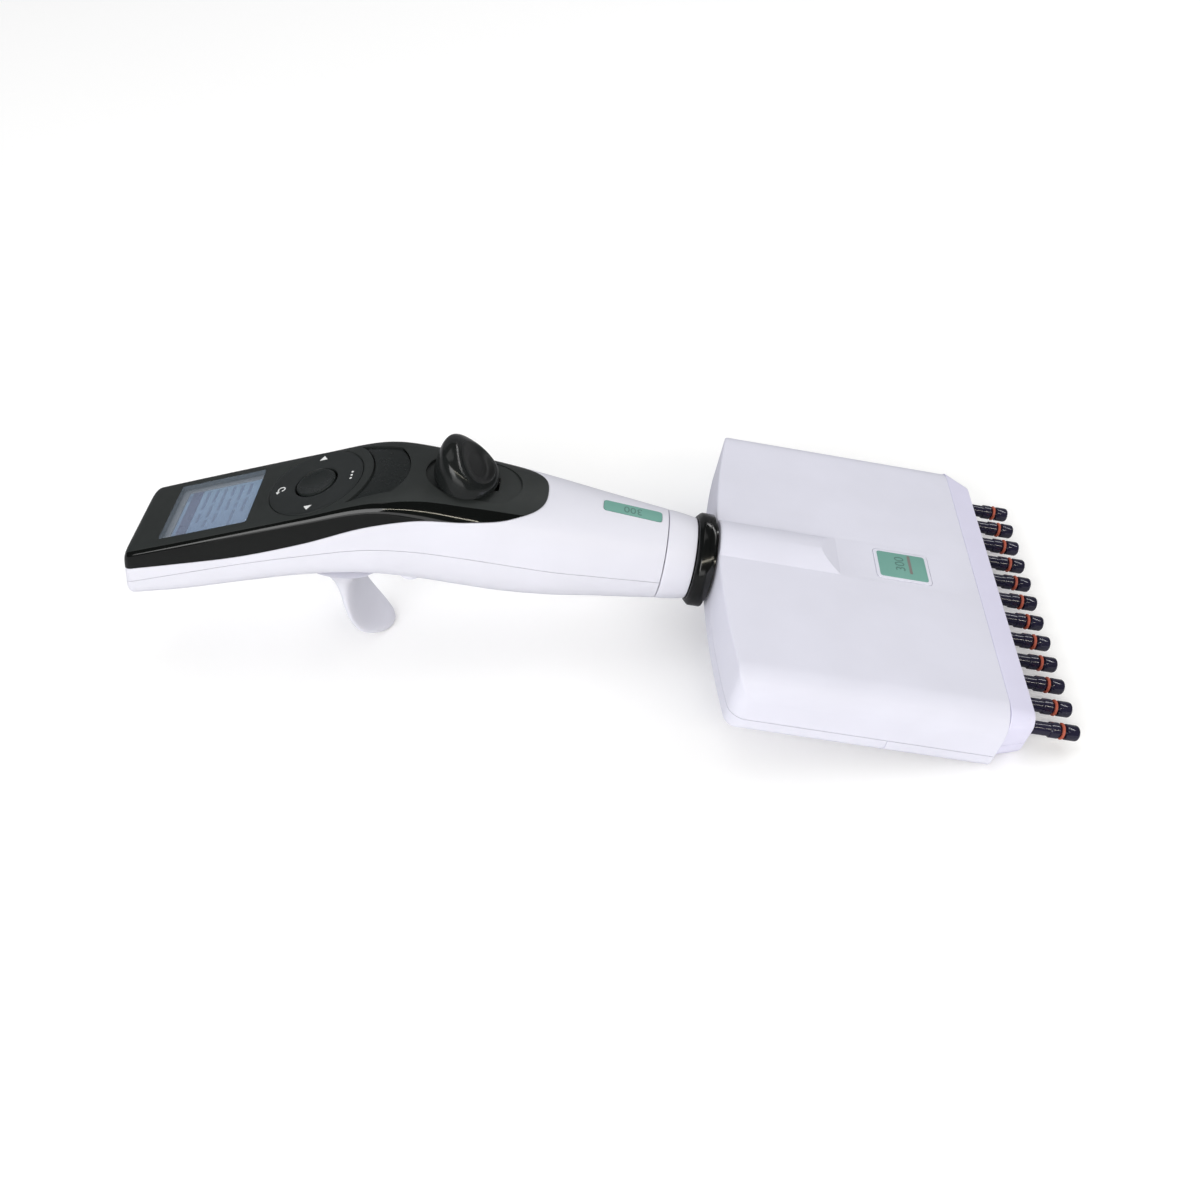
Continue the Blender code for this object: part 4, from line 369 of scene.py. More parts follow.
def between(low: float, high: float, share: float) -> float:
    """Mix two values.

    Args:
        low: The value at share 0.
        high: The value at share 1.
        share: The share of high.

    Returns:
        The mixed value.
    """
    return low + (high - low) * share


def arc_points(centre: Pair, radius: Pair, start: float, end: float,
               steps: int) -> list[Pair]:
    """Points along an elliptical arc.

    Args:
        centre: The arc's centre.
        radius: The two half axes.
        start: The first angle in degrees.
        end: The last angle in degrees.
        steps: The number of steps between them.

    Returns:
        steps + 1 points.
    """
    points = []
    for i in range(steps + 1):
        angle = math.radians(between(start, end, i / steps))
        points.append((centre[0] + radius[0] * math.cos(angle), centre[1] + radius[1] * math.sin(angle)))
    return points


def rounded_rectangle(x: Pair, y: Pair, corner: float,
                      steps: int = 6) -> list[Pair]:
    """The outline of a rectangle with round corners, counter-clockwise.

    Args:
        x: Its lowest and highest x.
        y: Its lowest and highest y.
        corner: The corner radius.
        steps: Steps in each corner.

    Returns:
        The outline's points.
    """
    outline: list[Pair] = []
    corners = ((x[1] - corner, y[1] - corner, 0), (x[0] + corner, y[1] - corner, 90),
               (x[0] + corner, y[0] + corner, 180), (x[1] - corner, y[0] + corner, 270))
    for cx, cy, start in corners:
        outline += arc_points((cx, cy), (corner, corner), start, start + 90, steps)
    return outline


def rectangle(x: Pair, y: Pair) -> list[Pair]:
    """The outline of a rectangle with sharp corners, from two ranges."""
    return [(x[0], y[0]), (x[1], y[0]), (x[1], y[1]), (x[0], y[1])]


def mirrored(half: float) -> Pair:
    """The range from -half to half."""
    return -half, half


def grown(span: Pair, extra: float) -> Pair:
    """A range that reaches further by extra at both ends."""
    return span[0] - extra, span[1] + extra


def stepped(start: float, *steps: Pair) -> list[Pair]:
    """The closed cross-section of a stepped rod, for Skin.turn.

    Args:
        start: Where the rod starts along its axis.
        steps: Where each step ends along the axis, and its radius.

    Returns:
        The points (along, radius), with both ends on the axis.
    """
    outline = [(start, 0.0)]
    for end, radius in steps:
        outline += [(start, radius), (end, radius)]
        start = end
    return outline + [(start, 0.0)]


def link_object(name: str, data: bpy.types.ID) -> bpy.types.Object:
    """Put data in the scene as an object at the origin.

    Args:
        name: The object's name.
        data: Its mesh, text, lamp or camera.

    Returns:
        The new object.
    """
    made = bpy.data.objects.new(name, data)
    bpy.context.scene.collection.objects.link(made)
    return made


def clean_up(mesh: bpy.types.Mesh, merge: float, melt: float = 0.0) -> None:
    """Merge what coincides and turn every face outwards.

    Args:
        mesh: The mesh, in metres.
        merge: The distance under which two points become one.
        melt: The length under which an edge is dissolved, if any.
    """
    clean = bmesh.new()
    clean.from_mesh(mesh)
    bmesh.ops.remove_doubles(clean, verts=clean.verts, dist=merge)
    if melt:
        bmesh.ops.dissolve_degenerate(clean, edges=clean.edges, dist=melt)
    bmesh.ops.recalc_face_normals(clean, faces=clean.faces)
    clean.to_mesh(mesh)
    clean.free()


@dataclass
class Skin:
    """Points in millimetres and the faces between them, gathered until they become a piece."""

    points: list[Vector] = field(default_factory=list)
    faces: list[tuple[int, ...]] = field(default_factory=list)
    marks: list[int] = field(default_factory=list)

    def add_points(self, points: Iterable[Sequence[float]]) -> list[int]:
        """Add points.

        Args:
            points: The points, in millimetres.

        Returns:
            Their numbers.
        """
        first = len(self.points)
        self.points += [Vector(p) for p in points]
        return list(range(first, len(self.points)))

    def add_face(self, corners: Iterable[int], mark: int = 0) -> None:
        """Add one face.

        Args:
            corners: The numbers of its points.
            mark: The number of its finish.
        """
        self.faces.append(tuple(corners))
        self.marks.append(mark)

    def loft(self, rings: Sequence[Sequence[Sequence[float]]], closed: bool = True, caps: bool = True,
             mark: Callable[[int, int], int] | None = None, cap_mark: int = 0) -> None:
        """Join rings of equal length.

        Args:
            rings: Rows of points, one ring each.
            closed: Whether each ring closes on itself.
            caps: Whether the first and last ring get a flat cap.
            mark: Gives the finish of the face at a row and a column.
            cap_mark: The finish of both caps.
        """
        loops = [self.add_points(ring) for ring in rings]
        count = len(loops[0])
        for row, (low, high) in enumerate(zip(loops, loops[1:])):
            for i in range(0 if closed else 1, count):
                self.add_face((low[i - 1], low[i], high[i], high[i - 1]), mark(row, i) if mark else 0)
        if caps:
            self.add_face(loops[0], cap_mark)
            self.add_face(reversed(loops[-1]), cap_mark)

    def turn(self, outline: Sequence[Pair], sides: int, axis: str = "X",
             centre: Point = (0.0, 0.0, 0.0), marks: Sequence[int] | None = None) -> None:
        """Turn a closed outline of (along, radius) points about an axis.

        Args:
            outline: The cross-section; points on the axis have radius 0.
            sides: The number of sides.
            axis: X or Z.
            centre: The axis' place.
            marks: The finish of each step of the outline.
        """
        rings = []
        for k in range(sides):
            angle = math.tau * k / sides
            ring = []
            for along, radius in outline:
                side, up = radius * math.cos(angle), radius * math.sin(angle)
                ring.append((along, side, up) if axis == "X" else (side, up, along))
            rings.append([tuple(a + b for a, b in zip(p, centre)) for p in ring])
        rings.append(rings[0])
        self.loft(rings, caps=False, mark=(lambda row, i: marks[i - 1]) if marks else None)

    def prism(self, outline: Sequence[Pair], low: float, high: float, soften: float = 0.0,
              flare: float = 0.0, mark: int = 0) -> None:
        """Raise an outline along Z.

        Args:
            outline: The (x, y) outline, counter-clockwise.
            low: The lower level.
            high: The upper level.
            soften: The radius that rounds the upper rim.
            flare: How far the top flares out, for a cutter that leaves a chamfer.
            mark: The finish of its faces.
        """
        middle = Vector((sum(p[0] for p in outline), sum(p[1] for p in outline))) / len(outline)

        def ring(level: float, shift: float) -> list[Point]:
            """The outline at one level.

            Args:
                level: The level.
                shift: How far it is moved outwards.

            Returns:
                The ring's points.
            """
            made = []
            for i, point in enumerate(outline):
                before, after = Vector(outline[i - 1]), Vector(outline[(i + 1) % len(outline)])
                along = after - before
                out = Vector((along.y, -along.x))
                if out.length < 1e-9:
                    out = Vector(point) - middle
                out.normalize()
                made.append((point[0] + out.x * shift, point[1] + out.y * shift, level))
            return made

        rings = [ring(low, 0.0)]
        if soften:
            for share in (0.0, 0.3, 0.62, 1.0):
                angle = share * math.pi / 2
                rings.append(ring(high - soften + soften * math.sin(angle), -soften * (1 - math.cos(angle))))
        elif flare:
            rings.append(ring(-flare, 0.0))
            rings.append(ring(high, high + flare))
        else:
            rings.append(ring(high, 0.0))
        self.loft(rings, mark=lambda row, i: mark, cap_mark=mark)

    def piece(self, name: str, finishes: Sequence["Finish | ScreenFinish"], place: Matrix = AXIS,
              sharp: float = 34.0) -> bpy.types.Object:
        """Turn the skin into a closed mesh object in its place.

        Args:
            name: The piece's name.
            finishes: The finishes that the marks number.
            place: From the piece's own frame to the world.
            sharp: The angle over which an edge stays sharp, in degrees.

        Returns:
            The new object.
        """
        mesh = bpy.data.meshes.new(name)
        mesh.from_pydata([tuple(p * MM) for p in self.points], [], self.faces)
        mesh.polygons.foreach_set("material_index", self.marks)
        mesh.transform(place)
        clean_up(mesh, 1e-6, 1e-7)
        made = link_object(name, mesh)
        for finish in finishes:
            mesh.materials.append(finish.material())
        mesh.shade_smooth()
        mesh.set_sharp_from_angle(angle=math.radians(sharp))
        return made


def carve(target: bpy.types.Object, other: bpy.types.Object, operation: str = "DIFFERENCE",
          sharp: float = 34.0) -> bpy.types.Object:
    """Apply one exact Boolean and drop the other object.

    Args:
        target: The piece that changes.
        other: The piece that cuts, joins or limits it.
        operation: DIFFERENCE, UNION or INTERSECT.
        sharp: The angle over which an edge stays sharp, in degrees.

    Returns:
        The target.
    """
    modifier = target.modifiers.new("carve", "BOOLEAN")
    modifier.operation = operation
    modifier.solver = "EXACT"
    modifier.object = other
    apply_modifiers(target)
    bpy.data.objects.remove(other, do_unlink=True)
    target.data.set_sharp_from_angle(angle=math.radians(sharp))
    return target


def apply_modifiers(target: bpy.types.Object) -> None:
    """Replace a piece's mesh by the mesh that its modifiers give.

    Args:
        target: The piece, whose modifiers are removed.
    """
    bpy.context.view_layer.update()
    graph = bpy.context.evaluated_depsgraph_get()
    mesh = bpy.data.meshes.new_from_object(target.evaluated_get(graph))
    old = target.data
    target.modifiers.clear()
    target.data = mesh
    bpy.data.meshes.remove(old)
    mesh.name = target.name


def settle(piece: bpy.types.Object, body: str, replaced: Sequence[str] = ()) -> None:
    """Let a piece ride on its body and stand for the nodes that it replaces.

    Args:
        piece: The finished piece.
        body: The body that carries it.
        replaced: The frame's nodes that it stands for.
    """
    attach(piece, body)
    if replaced:
        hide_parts(*replaced)
    LOG.info("%s rides on %s with %d faces", piece.name, body, len(piece.data.polygons))


@dataclass(frozen=True)
class Section:
    """One cross-section of the handle in millimetres, with the powers that set how square it is."""

    x: float
    top: float
    bottom: float
    half_width: float
    parting: float
    panel_edge: float
    top_power: float
    bottom_power: float


SECTIONS = (
    Section(-275.0, -19.65, -38.9, 16.9, -31.0, -25.6, 10.0, 3.4),
    Section(-258.0, -11.59, -34.0, 17.2, -23.4, -19.4, 10.0, 3.4),
    Section(-240.0, -3.06, -27.6, 17.3, -15.6, -12.6, 10.0, 3.2),
    Section(-221.0, 5.95, -21.2, 17.4, -8.2, -3.4, 9.5, 3.0),
    Section(-204.0, 14.01, -18.2, 17.5, -2.3, 6.2, 7.5, 2.7),
    Section(-190.0, 17.1, -17.8, 17.5, 0.0, 11.2, 4.6, 2.5),
    Section(-175.0, 17.2, -18.3, 17.5, 0.6, 12.6, 3.4, 2.4),
    Section(-163.0, 16.8, -18.3, 17.2, 0.4, 14.1, 3.0, 2.4),
    Section(-149.0, 16.0, -17.4, 16.6, 0.0, 18.0, 2.6, 2.3),
    Section(-135.0, 15.0, -16.0, 15.4, 0.0, 30.0, 2.3, 2.1),
    Section(-116.5, 13.7, -13.7, 13.7, 0.0, 30.0, 2.0, 2.0),
)


@dataclass
class HandleForm:
    """The skin of the handle, which its shells, its panel and its keys share."""

    sections: tuple[Section, ...] = SECTIONS
    end_x: float = -274.5
    end_round: float = 2.4
    tip_x: float = -116.6
    wall: float = 2.0
    rows: int = 112
    side_steps: int = 14
    top_steps: int = 14
    bottom_steps: int = 20
    band_tilt: float = 27.0
    samples: int = 60
    turn_weight: float = 6.0
    end_steps: int = 6
    end_inset: float = 1.6
    tip_overshoot: float = 4.0

    def size(self, name: str, x: float) -> float:
        """Read one field of the sections at x, with smooth slopes at the stations.

        Args:
            name: The field's name.
            x: The place along the axis.

        Returns:
            The field's value there.
        """
        places = [s.x for s in self.sections]
        values = [getattr(s, name) for s in self.sections]
        at = min(max(x, places[0]), places[-1])
        i = max(k for k in range(len(places) - 1) if places[k] <= at)

        def slope(k: int) -> float:
            """The slope at station k, from its neighbours."""
            low, high = max(k - 1, 0), min(k + 1, len(places) - 1)
            return (values[high] - values[low]) / (places[high] - places[low])

        span = places[i + 1] - places[i]
        t = (at - places[i]) / span
        start = (2 * t ** 3 - 3 * t ** 2 + 1) * values[i] + (t ** 3 - 2 * t ** 2 + t) * span * slope(i)
        return start + (3 * t ** 2 - 2 * t ** 3) * values[i + 1] + (t ** 3 - t ** 2) * span * slope(i + 1)

    def skin_z(self, side: str, x: float, y: float) -> float:
        """The height of the skin over or under a point.

        Args:
            side: top or bottom.
            x: The point's place along the axis.
            y: Its place across the axis.

        Returns:
            The skin's z there.
        """
        share = min(abs(y) / self.size("half_width", x), 0.9999)
        power = self.size(side + "_power", x)
        parting = self.size("parting", x)
        return parting + (self.size(side, x) - parting) * (1 - share ** power) ** (1 / power)

    def _quarter(self, x: float, inset: float, side: str, steps: Sequence[int]) -> list[Pair]:
        """Points (y, z) from the side line to the middle line, denser where the skin turns.

        Args:
            x: The place along the axis.
            inset: How far the skin is moved inwards.
            side: top or bottom.
            steps: The steps in each stretch; a top has two, which meet at the edge of its glossy band.

        Returns:
            The quarter's points.
        """
        power = self.size(side + "_power", x)
        parting = self.size("parting", x)
        half = self.size("half_width", x)
        height = self.size(side, x) - parting
        sign = 1.0 if height > 0 else -1.0
        height = abs(height)
        ratio = (math.tan(math.radians(self.band_tilt)) * half / height) ** (1 / (power - 1))
        bounds = [0.0, math.atan2(1.0, ratio), math.pi / 2] if len(steps) == 2 else [0.0, math.pi / 2]

        def unit(angle: float) -> Pair:
            """The point of the unit curve at an angle in radians."""
            c, s = max(math.cos(angle), 0.0), math.sin(angle)
            norm = (c ** power + s ** power) ** (1 / power)
            return c / norm, s / norm

        points = []
        for low, high, count in zip(bounds, bounds[1:], steps):
            fine = [low + (high - low) * k / self.samples for k in range(self.samples + 1)]
            spots = [unit(a) for a in fine]
            total = [0.0]
            for a, b in zip(spots, spots[1:]):
                chord = math.hypot((b[0] - a[0]) * half, (b[1] - a[1]) * height)
                total.append(total[-1] + chord + self.turn_weight * self._turn(a, b, power))
            k = 0
            for j in range(count):
                goal = total[-1] * j / count
                while k < self.samples - 1 and total[k + 1] < goal:
                    k += 1
                share = (goal - total[k]) / max(total[k + 1] - total[k], 1e-12)
                points.append(unit(fine[k] + (fine[k + 1] - fine[k]) * share))
        points.append((0.0, 1.0))
        return [(u * (half - inset), parting + sign * v * (height - inset)) for u, v in points]

    @staticmethod
    def _turn(a: Pair, b: Pair, power: float) -> float:
        """Measure how far the skin turns between two points of the unit curve.

        Args:
            a: The first point.
            b: The second point.
            power: The curve's power.

        Returns:
            The angle in radians.
        """
        first = math.atan2(max(a[0], 1e-9) ** (power - 1), max(a[1], 1e-9) ** (power - 1))
        last = math.atan2(max(b[0], 1e-9) ** (power - 1), max(b[1], 1e-9) ** (power - 1))
        return abs(last - first)

    def ring(self, x: float, inset: float) -> list[Point]:
        """One closed ring of the skin, counter-clockwise from its +Y side line.

        Args:
            x: The place along the axis.
            inset: How far the skin is moved inwards.

        Returns:
            The ring's points.
        """
        top = self._quarter(x, inset, "top", (self.side_steps, self.top_steps))
        low = self._quarter(x, inset, "bottom", (self.bottom_steps,))
        upper = top + [(-y, z) for y, z in reversed(top[:-1])]
        lower = [(-y, z) for y, z in low[1:]] + [(y, z) for y, z in reversed(low[1:-1])]
        return [(x, y, z) for y, z in upper + lower]

    def mark(self, column: int) -> int:
        """Tell whether a column of the ring is in the matte top or in the glossy band.

        Args:
            column: The column's number.

        Returns:
            0 in the matte top, 1 in the band.
        """
        top_end = 2 * (self.side_steps + self.top_steps) - self.side_steps
        return 0 if self.side_steps < column <= top_end else 1

    def body(self, name: str, finishes: Sequence[Finish], inset: float = 0.0,
             banded: bool = False) -> bpy.types.Object:
        """The handle as one solid, or with an inset the cutter of its hollow.

        Args:
            name: The object's name.
            finishes: One finish, or the two of the panel.
            inset: How far the skin is moved inwards.
            banded: Whether the faces carry the mark of the glossy band.

        Returns:
            The solid.
        """
        skin = Skin()
        start, end = self.end_x + inset, self.tip_x + (self.tip_overshoot if inset else 0.0)
        rings = []
        if inset:
            rings.append(self.ring(start, inset))
        else:
            rings.append(self.ring(start, self.end_round + self.end_inset))
            for k in range(self.end_steps + 1):
                angle = k / self.end_steps * math.pi / 2
                tuck = self.end_round * (1 - math.sin(angle))
                rings.append(self.ring(start + self.end_round * (1 - math.cos(angle)), tuck))
        first = start + (0.0 if inset else self.end_round)
        for i in range(1, self.rows + 1):
            rings.append(self.ring(first + (end - first) * i / self.rows, inset))
        skin.loft(rings, mark=(lambda row, i: self.mark(i)) if banded else None)
        return skin.piece(name, finishes)

    def head_height(self, x: float, y: float) -> float:
        """The skin's height over a point of the head's own frame.

        Args:
            x: The point's place along the head.
            y: Its place across the head.

        Returns:
            The height over the head's face.
        """
        height = 0.0
        for _ in range(8):
            spot = HEAD_ON_AXIS @ (Vector((x, y, height)) * MM) / MM
            height += (self.skin_z("top", spot.x, spot.y) - spot.z) * 0.8
        return height


@dataclass
class HandleShells:
    """The back shell with its finger hook, the front shell, the neck strip and the split lines that the black
    panel shares.
    """

    form: HandleForm
    seam: float = 0.1
    edge_seam: float = 0.09
    # Stations from the hook's root to its tip: x, z, half thickness, half width
    hook: tuple[tuple[float, float, float, float], ...] = (
        (-211.4, -16.6, 13.5, 15.4),
        (-211.2, -19.6, 8.4, 12.4),
        (-210.9, -23.5, 4.4, 10.5),
        (-210.0, -28.5, 2.5, 10.0),
        (-208.8, -33.5, 1.9, 10.6),
        (-206.6, -38.6, 1.7, 11.2),
        (-203.4, -42.4, 1.6, 10.6),
        (-199.4, -44.6, 1.5, 8.0),
        (-196.4, -45.4, 1.2, 4.8),
        (-195.2, -45.5, 0.7, 2.4),
    )
    hook_power: float = 2.5
    hook_sides: int = 48
    hook_steps: int = 7
    # How far the tip runs on, and the shares of its width and thickness that are left
    hook_tip: tuple[float, float, float] = (0.35, 0.55, 0.4)
    line_steps: int = 150
    panel_end: float = -149.5
    clear_end: float = 5.0
    clear_side: float = 40.0
    clear_top: float = 40.0
    clear_bottom: float = -80.0
    screw_spots: tuple[Pair, ...] = ((-268.3, 0.0), (-190.5, -10.0), (-190.5, 10.0))
    screw_hole: float = 2.2
    screw_seat: float = 3.4
    screw_bore: float = 1.4
    boss_radius: float = 3.1
    boss_root: float = 1.0
    boss_gap: float = 0.3
    bore_overshoot: float = 2.0
    contact_x: float = -135.0
    contact_spacing: float = 5.0
    contact_hole: float = 1.85
    contact_top: float = -11.0
    strip_x: Pair = (-136.5, -118.7)
    strip_half: float = 2.3
    strip_depth: float = 0.8
    strip_corner: float = 1.0
    strip_proud: float = 0.12
    strip_clearance: float = 0.12
    strip_cut: float = 3.0

    def keeper(self, name: str, lines: Sequence[Pair]) -> bpy.types.Object:
        """A wide prism along Y, which keeps one shell.

        Args:
            name: The object's name.
            lines: The prism's (x, z) outline.

        Returns:
            The prism.
        """
        skin = Skin()
        skin.loft([[(x, y, z) for x, z in lines] for y in mirrored(self.clear_side)])
        return skin.piece(name, [WHITE])

    def split_line(self, name: str, end: float, shift: float) -> list[Pair]:
        """Follow one split line from beyond the display end.

        Args:
            name: The field of the sections that gives the line.
            end: Where the line ends along the axis.
            shift: How far the line is raised.

        Returns:
            The line's (x, z) points.
        """
        start = self.form.end_x - self.clear_end
        places = [start + (end - start) * i / self.line_steps for i in range(self.line_steps + 1)]
        return [(x, self.form.size(name, x) + shift) for x in places]

    def tongue(self) -> bpy.types.Object:
        """The finger hook as a curved tongue whose root flares into the shell.

        Returns:
            The tongue as a closed piece.
        """
        stations = self.hook
        fine: list[tuple[float, float, float, float]] = []
        for i in range(len(stations) - 1):
            before, a = stations[max(i - 1, 0)], stations[i]
            b, after = stations[i + 1], stations[min(i + 2, len(stations) - 1)]
            for k in range(self.hook_steps):
                t = k / self.hook_steps
                fine.append(tuple(0.5 * (2 * p1 + (p2 - p0) * t + (2 * p0 - 5 * p1 + 4 * p2 - p3) * t * t
                                         + (3 * p1 - p0 - 3 * p2 + p3) * t ** 3)
                                  for p0, p1, p2, p3 in zip(before, a, b, after)))
        fine.append(stations[-1])
        skin = Skin()
        rings = []
        for i, (x, z, thick, wide) in enumerate(fine):
            before, after = fine[max(i - 1, 0)], fine[min(i + 1, len(fine) - 1)]
            along = Vector((after[0] - before[0], 0.0, after[1] - before[1])).normalized()
            across = Vector((-along.z, 0.0, along.x))
            ring = []
            for k in range(self.hook_sides):
                angle = math.tau * k / self.hook_sides
                c, s = math.cos(angle), math.sin(angle)
                norm = (abs(c) ** self.hook_power + abs(s) ** self.hook_power) ** (1 / self.hook_power)
                ring.append(Vector((x, c / norm * wide, z)) + across * (s / norm * thick))
            rings.append(ring)
        tip_x, tip_z = fine[-1][:2]
        run, narrow, thin = self.hook_tip
        rings.append([Vector((tip_x + run, p.y * narrow, tip_z + (p.z - tip_z) * thin)) for p in rings[-1]])
        skin.loft(rings)
        return skin.piece("hook_tongue", [WHITE])

    def build(self) -> None:
        """Build the two white shells and settle them on the handle."""
        form = self.form
        left, right = grown((form.end_x, form.tip_x), self.clear_end)
        back = form.body("back_shell_dressed", [WHITE])
        carve(back, self.tongue(), "UNION")
        carve(back, form.body("back_hollow", [WHITE], form.wall))
        split = self.split_line("parting", right, -self.seam)
        below = [(right, self.clear_bottom), (left, self.clear_bottom)]
        carve(back, self.keeper("back_keeper", split + below), "INTERSECT")
        self._fasten(back)
        settle(back, "handle", ["back_shell"])

        front = form.body("front_shell_dressed", [WHITE])
        carve(front, form.body("front_hollow", [WHITE], form.wall))
        edge = self.split_line("panel_edge", self.panel_end, -self.edge_seam)
        split = self.split_line("parting", right, self.seam)
        above = [(right, self.clear_top), (self.panel_end, self.clear_top)]
        carve(front, self.keeper("front_keeper", split + above + edge[::-1]), "INTERSECT")
        carve(front, self._strip(self.strip_clearance))
        settle(front, "handle", ["front_shell"])
        self.dress_strip()

    def _fasten(self, back: bpy.types.Object) -> None:
        """Raise the screw bosses inside the back shell and sink the holes of screws and contacts.

        Args:
            back: The back shell.
        """
        for i, (x, y) in enumerate(self.screw_spots):
            skin_z = self.form.skin_z("bottom", x, y)
            joint = self.form.size("parting", x)
            boss, hole = Skin(), Skin()
            boss.turn(stepped(skin_z + self.boss_root, (joint - self.boss_gap, self.boss_radius)), 28, "Z",
                      (x, y, 0.0))
            carve(back, boss.piece(f"boss_{i}", [WHITE]), "UNION")
            seat = (skin_z + self.screw_seat, self.screw_hole)
            bore = (joint + self.bore_overshoot, self.screw_bore)
            hole.turn(stepped(self.clear_bottom, seat, bore), 28, "Z", (x, y, 0.0))
            carve(back, hole.piece(f"screw_hole_{i}", [WHITE]))
        for i in (-1, 0, 1):
            hole = Skin()
            hole.turn(stepped(self.clear_bottom, (self.contact_top, self.contact_hole)), 24, "Z",
                      (self.contact_x, i * self.contact_spacing, 0.0))
            carve(back, hole.piece(f"contact_hole_{i + 2}", [WHITE]))

    def _strip(self, grow: float) -> bpy.types.Object:
        """The badge strip on the neck, or its recess when it is grown.

        Args:
            grow: The clearance of the recess, or 0 for the strip itself.

        Returns:
            The strip, or the cutter of its recess.
        """
        skin = Skin()
        corner = self.strip_corner
        start, end = grown(self.strip_x, grow)
        bends = (0.0, 0.12, 0.3, 0.6, corner)
        stations = [start + bend for bend in bends]
        stations += [start + corner + (end - start - 2 * corner) * k / 12 for k in range(1, 12)]
        stations += [end - bend for bend in reversed(bends)]
        rings = []
        for x in stations:
            inner = max(corner - min(x - start, end - x), 0.0)
            half = self.strip_half + grow - corner + math.sqrt(max(corner ** 2 - inner ** 2, 0.0))
            floor = self.form.size("top", x) - self.strip_depth - grow
            across = [half * (2 * k / 10 - 1) for k in range(11)]
            lift = self.strip_cut if grow else self.strip_proud
            top = [(x, y, self.form.skin_z("top", x, y) + lift) for y in reversed(across)]
            rings.append([(x, -half, floor), (x, half, floor)] + top)
        skin.loft(rings)
        return skin.piece("neck_strip", [TEAL])

    def dress_strip(self) -> None:
        """Lay the teal strip in its recess, with generic figures in relief."""
        strip = self._strip(0.0)
        settle(strip, "handle", ["handle_badge"])
        figures = Lettering("neck_figures", "300", 3.9, 0.1, TEAL_DEEP, 180.0)
        middle = sum(self.strip_x) / 2
        near, far = (self.form.size("top", x) for x in self.strip_x)
        slope = (far - near) / (self.strip_x[1] - self.strip_x[0])
        lay = Matrix.Translation(Vector((middle, 0.0, self.form.size("top", middle) + 0.05)) * MM)
        figures.build(AXIS @ lay @ Matrix.Rotation(-math.atan(slope), 4, "Y"), "handle")


@dataclass
class Lettering:
    """Generic figures, raised a little from what they lie on."""

    name: str
    words: str
    size: float
    height: float
    finish: Finish
    turn: float = 0.0

    def build(self, place: Matrix, body: str) -> bpy.types.Object:
        """Make the figures a mesh and settle them.

        Args:
            place: The middle of the figures, with their reading direction along X.
            body: The body that carries them.

        Returns:
            The figures.
        """
        text = bpy.data.curves.new(self.name, "FONT")
        text.body = self.words
        text.size = self.size * MM
        text.align_x = "CENTER"
        text.align_y = "CENTER"
        text.extrude = self.height * MM
        text.resolution_u = 4
        holder = link_object(self.name + "_line", text)
        bpy.context.view_layer.update()
        mesh = bpy.data.meshes.new_from_object(holder.evaluated_get(bpy.context.evaluated_depsgraph_get()))
        bpy.data.objects.remove(holder, do_unlink=True)
        mesh.transform(place @ Matrix.Rotation(math.radians(self.turn), 4, "Z"))
        mesh.materials.clear()
        mesh.materials.append(self.finish.material())
        clean_up(mesh, 1e-7)
        made = link_object(self.name, mesh)
        settle(made, body, ())
        return made


@dataclass(frozen=True)
class PadFinish(Finish):
    """Glossy black with a satin oval, where the thumb rests."""

    centre: Point = (0.0, 0.0, 0.0)
    tilt: float = 0.0
    reach: Point = (0.005, 0.008, 1.0)
    satin: float = 0.42
    rim: float = 0.94
    smear: float = 0.08

    def _gloss(self, tree: bpy.types.NodeTree, shader: bpy.types.Node, place: bpy.types.NodeSocket) -> None:
        """Blend from gloss to satin across the rim of the oval.

        Args:
            tree: The node tree.
            shader: The shader.
            place: The coordinates to read.
        """
        place_on_pad = {"Location": self.centre, "Rotation": (0.0, self.tilt, 0.0), "Scale": self.reach}
        frame = add_node(tree, "ShaderNodeMapping", place_on_pad, vector_type="TEXTURE")
        tree.links.new(place, frame.inputs["Vector"])
        flat = add_node(tree, "ShaderNodeVectorMath", {1: (1.0, 1.0, 0.0)}, operation="MULTIPLY")
        tree.links.new(frame.outputs["Vector"], flat.inputs[0])
        length = add_node(tree, "ShaderNodeVectorMath", operation="LENGTH")
        tree.links.new(flat.outputs["Vector"], length.inputs[0])
        span = add_node(tree, "ShaderNodeMapRange", {"From Min": self.rim, "From Max": 1.0,
                                                     "To Min": self.satin, "To Max": self.rough_low})
        tree.links.new(length.outputs["Value"], span.inputs["Value"])
        smear = add_node(tree, "ShaderNodeMath", {1: self.smear}, operation="MULTIPLY_ADD")
        tree.links.new(self._noise(tree, place, 5.0, 4.0), smear.inputs[0])
        tree.links.new(span.outputs["Result"], smear.inputs[2])
        tree.links.new(smear.outputs["Value"], shader.inputs["Roughness"])


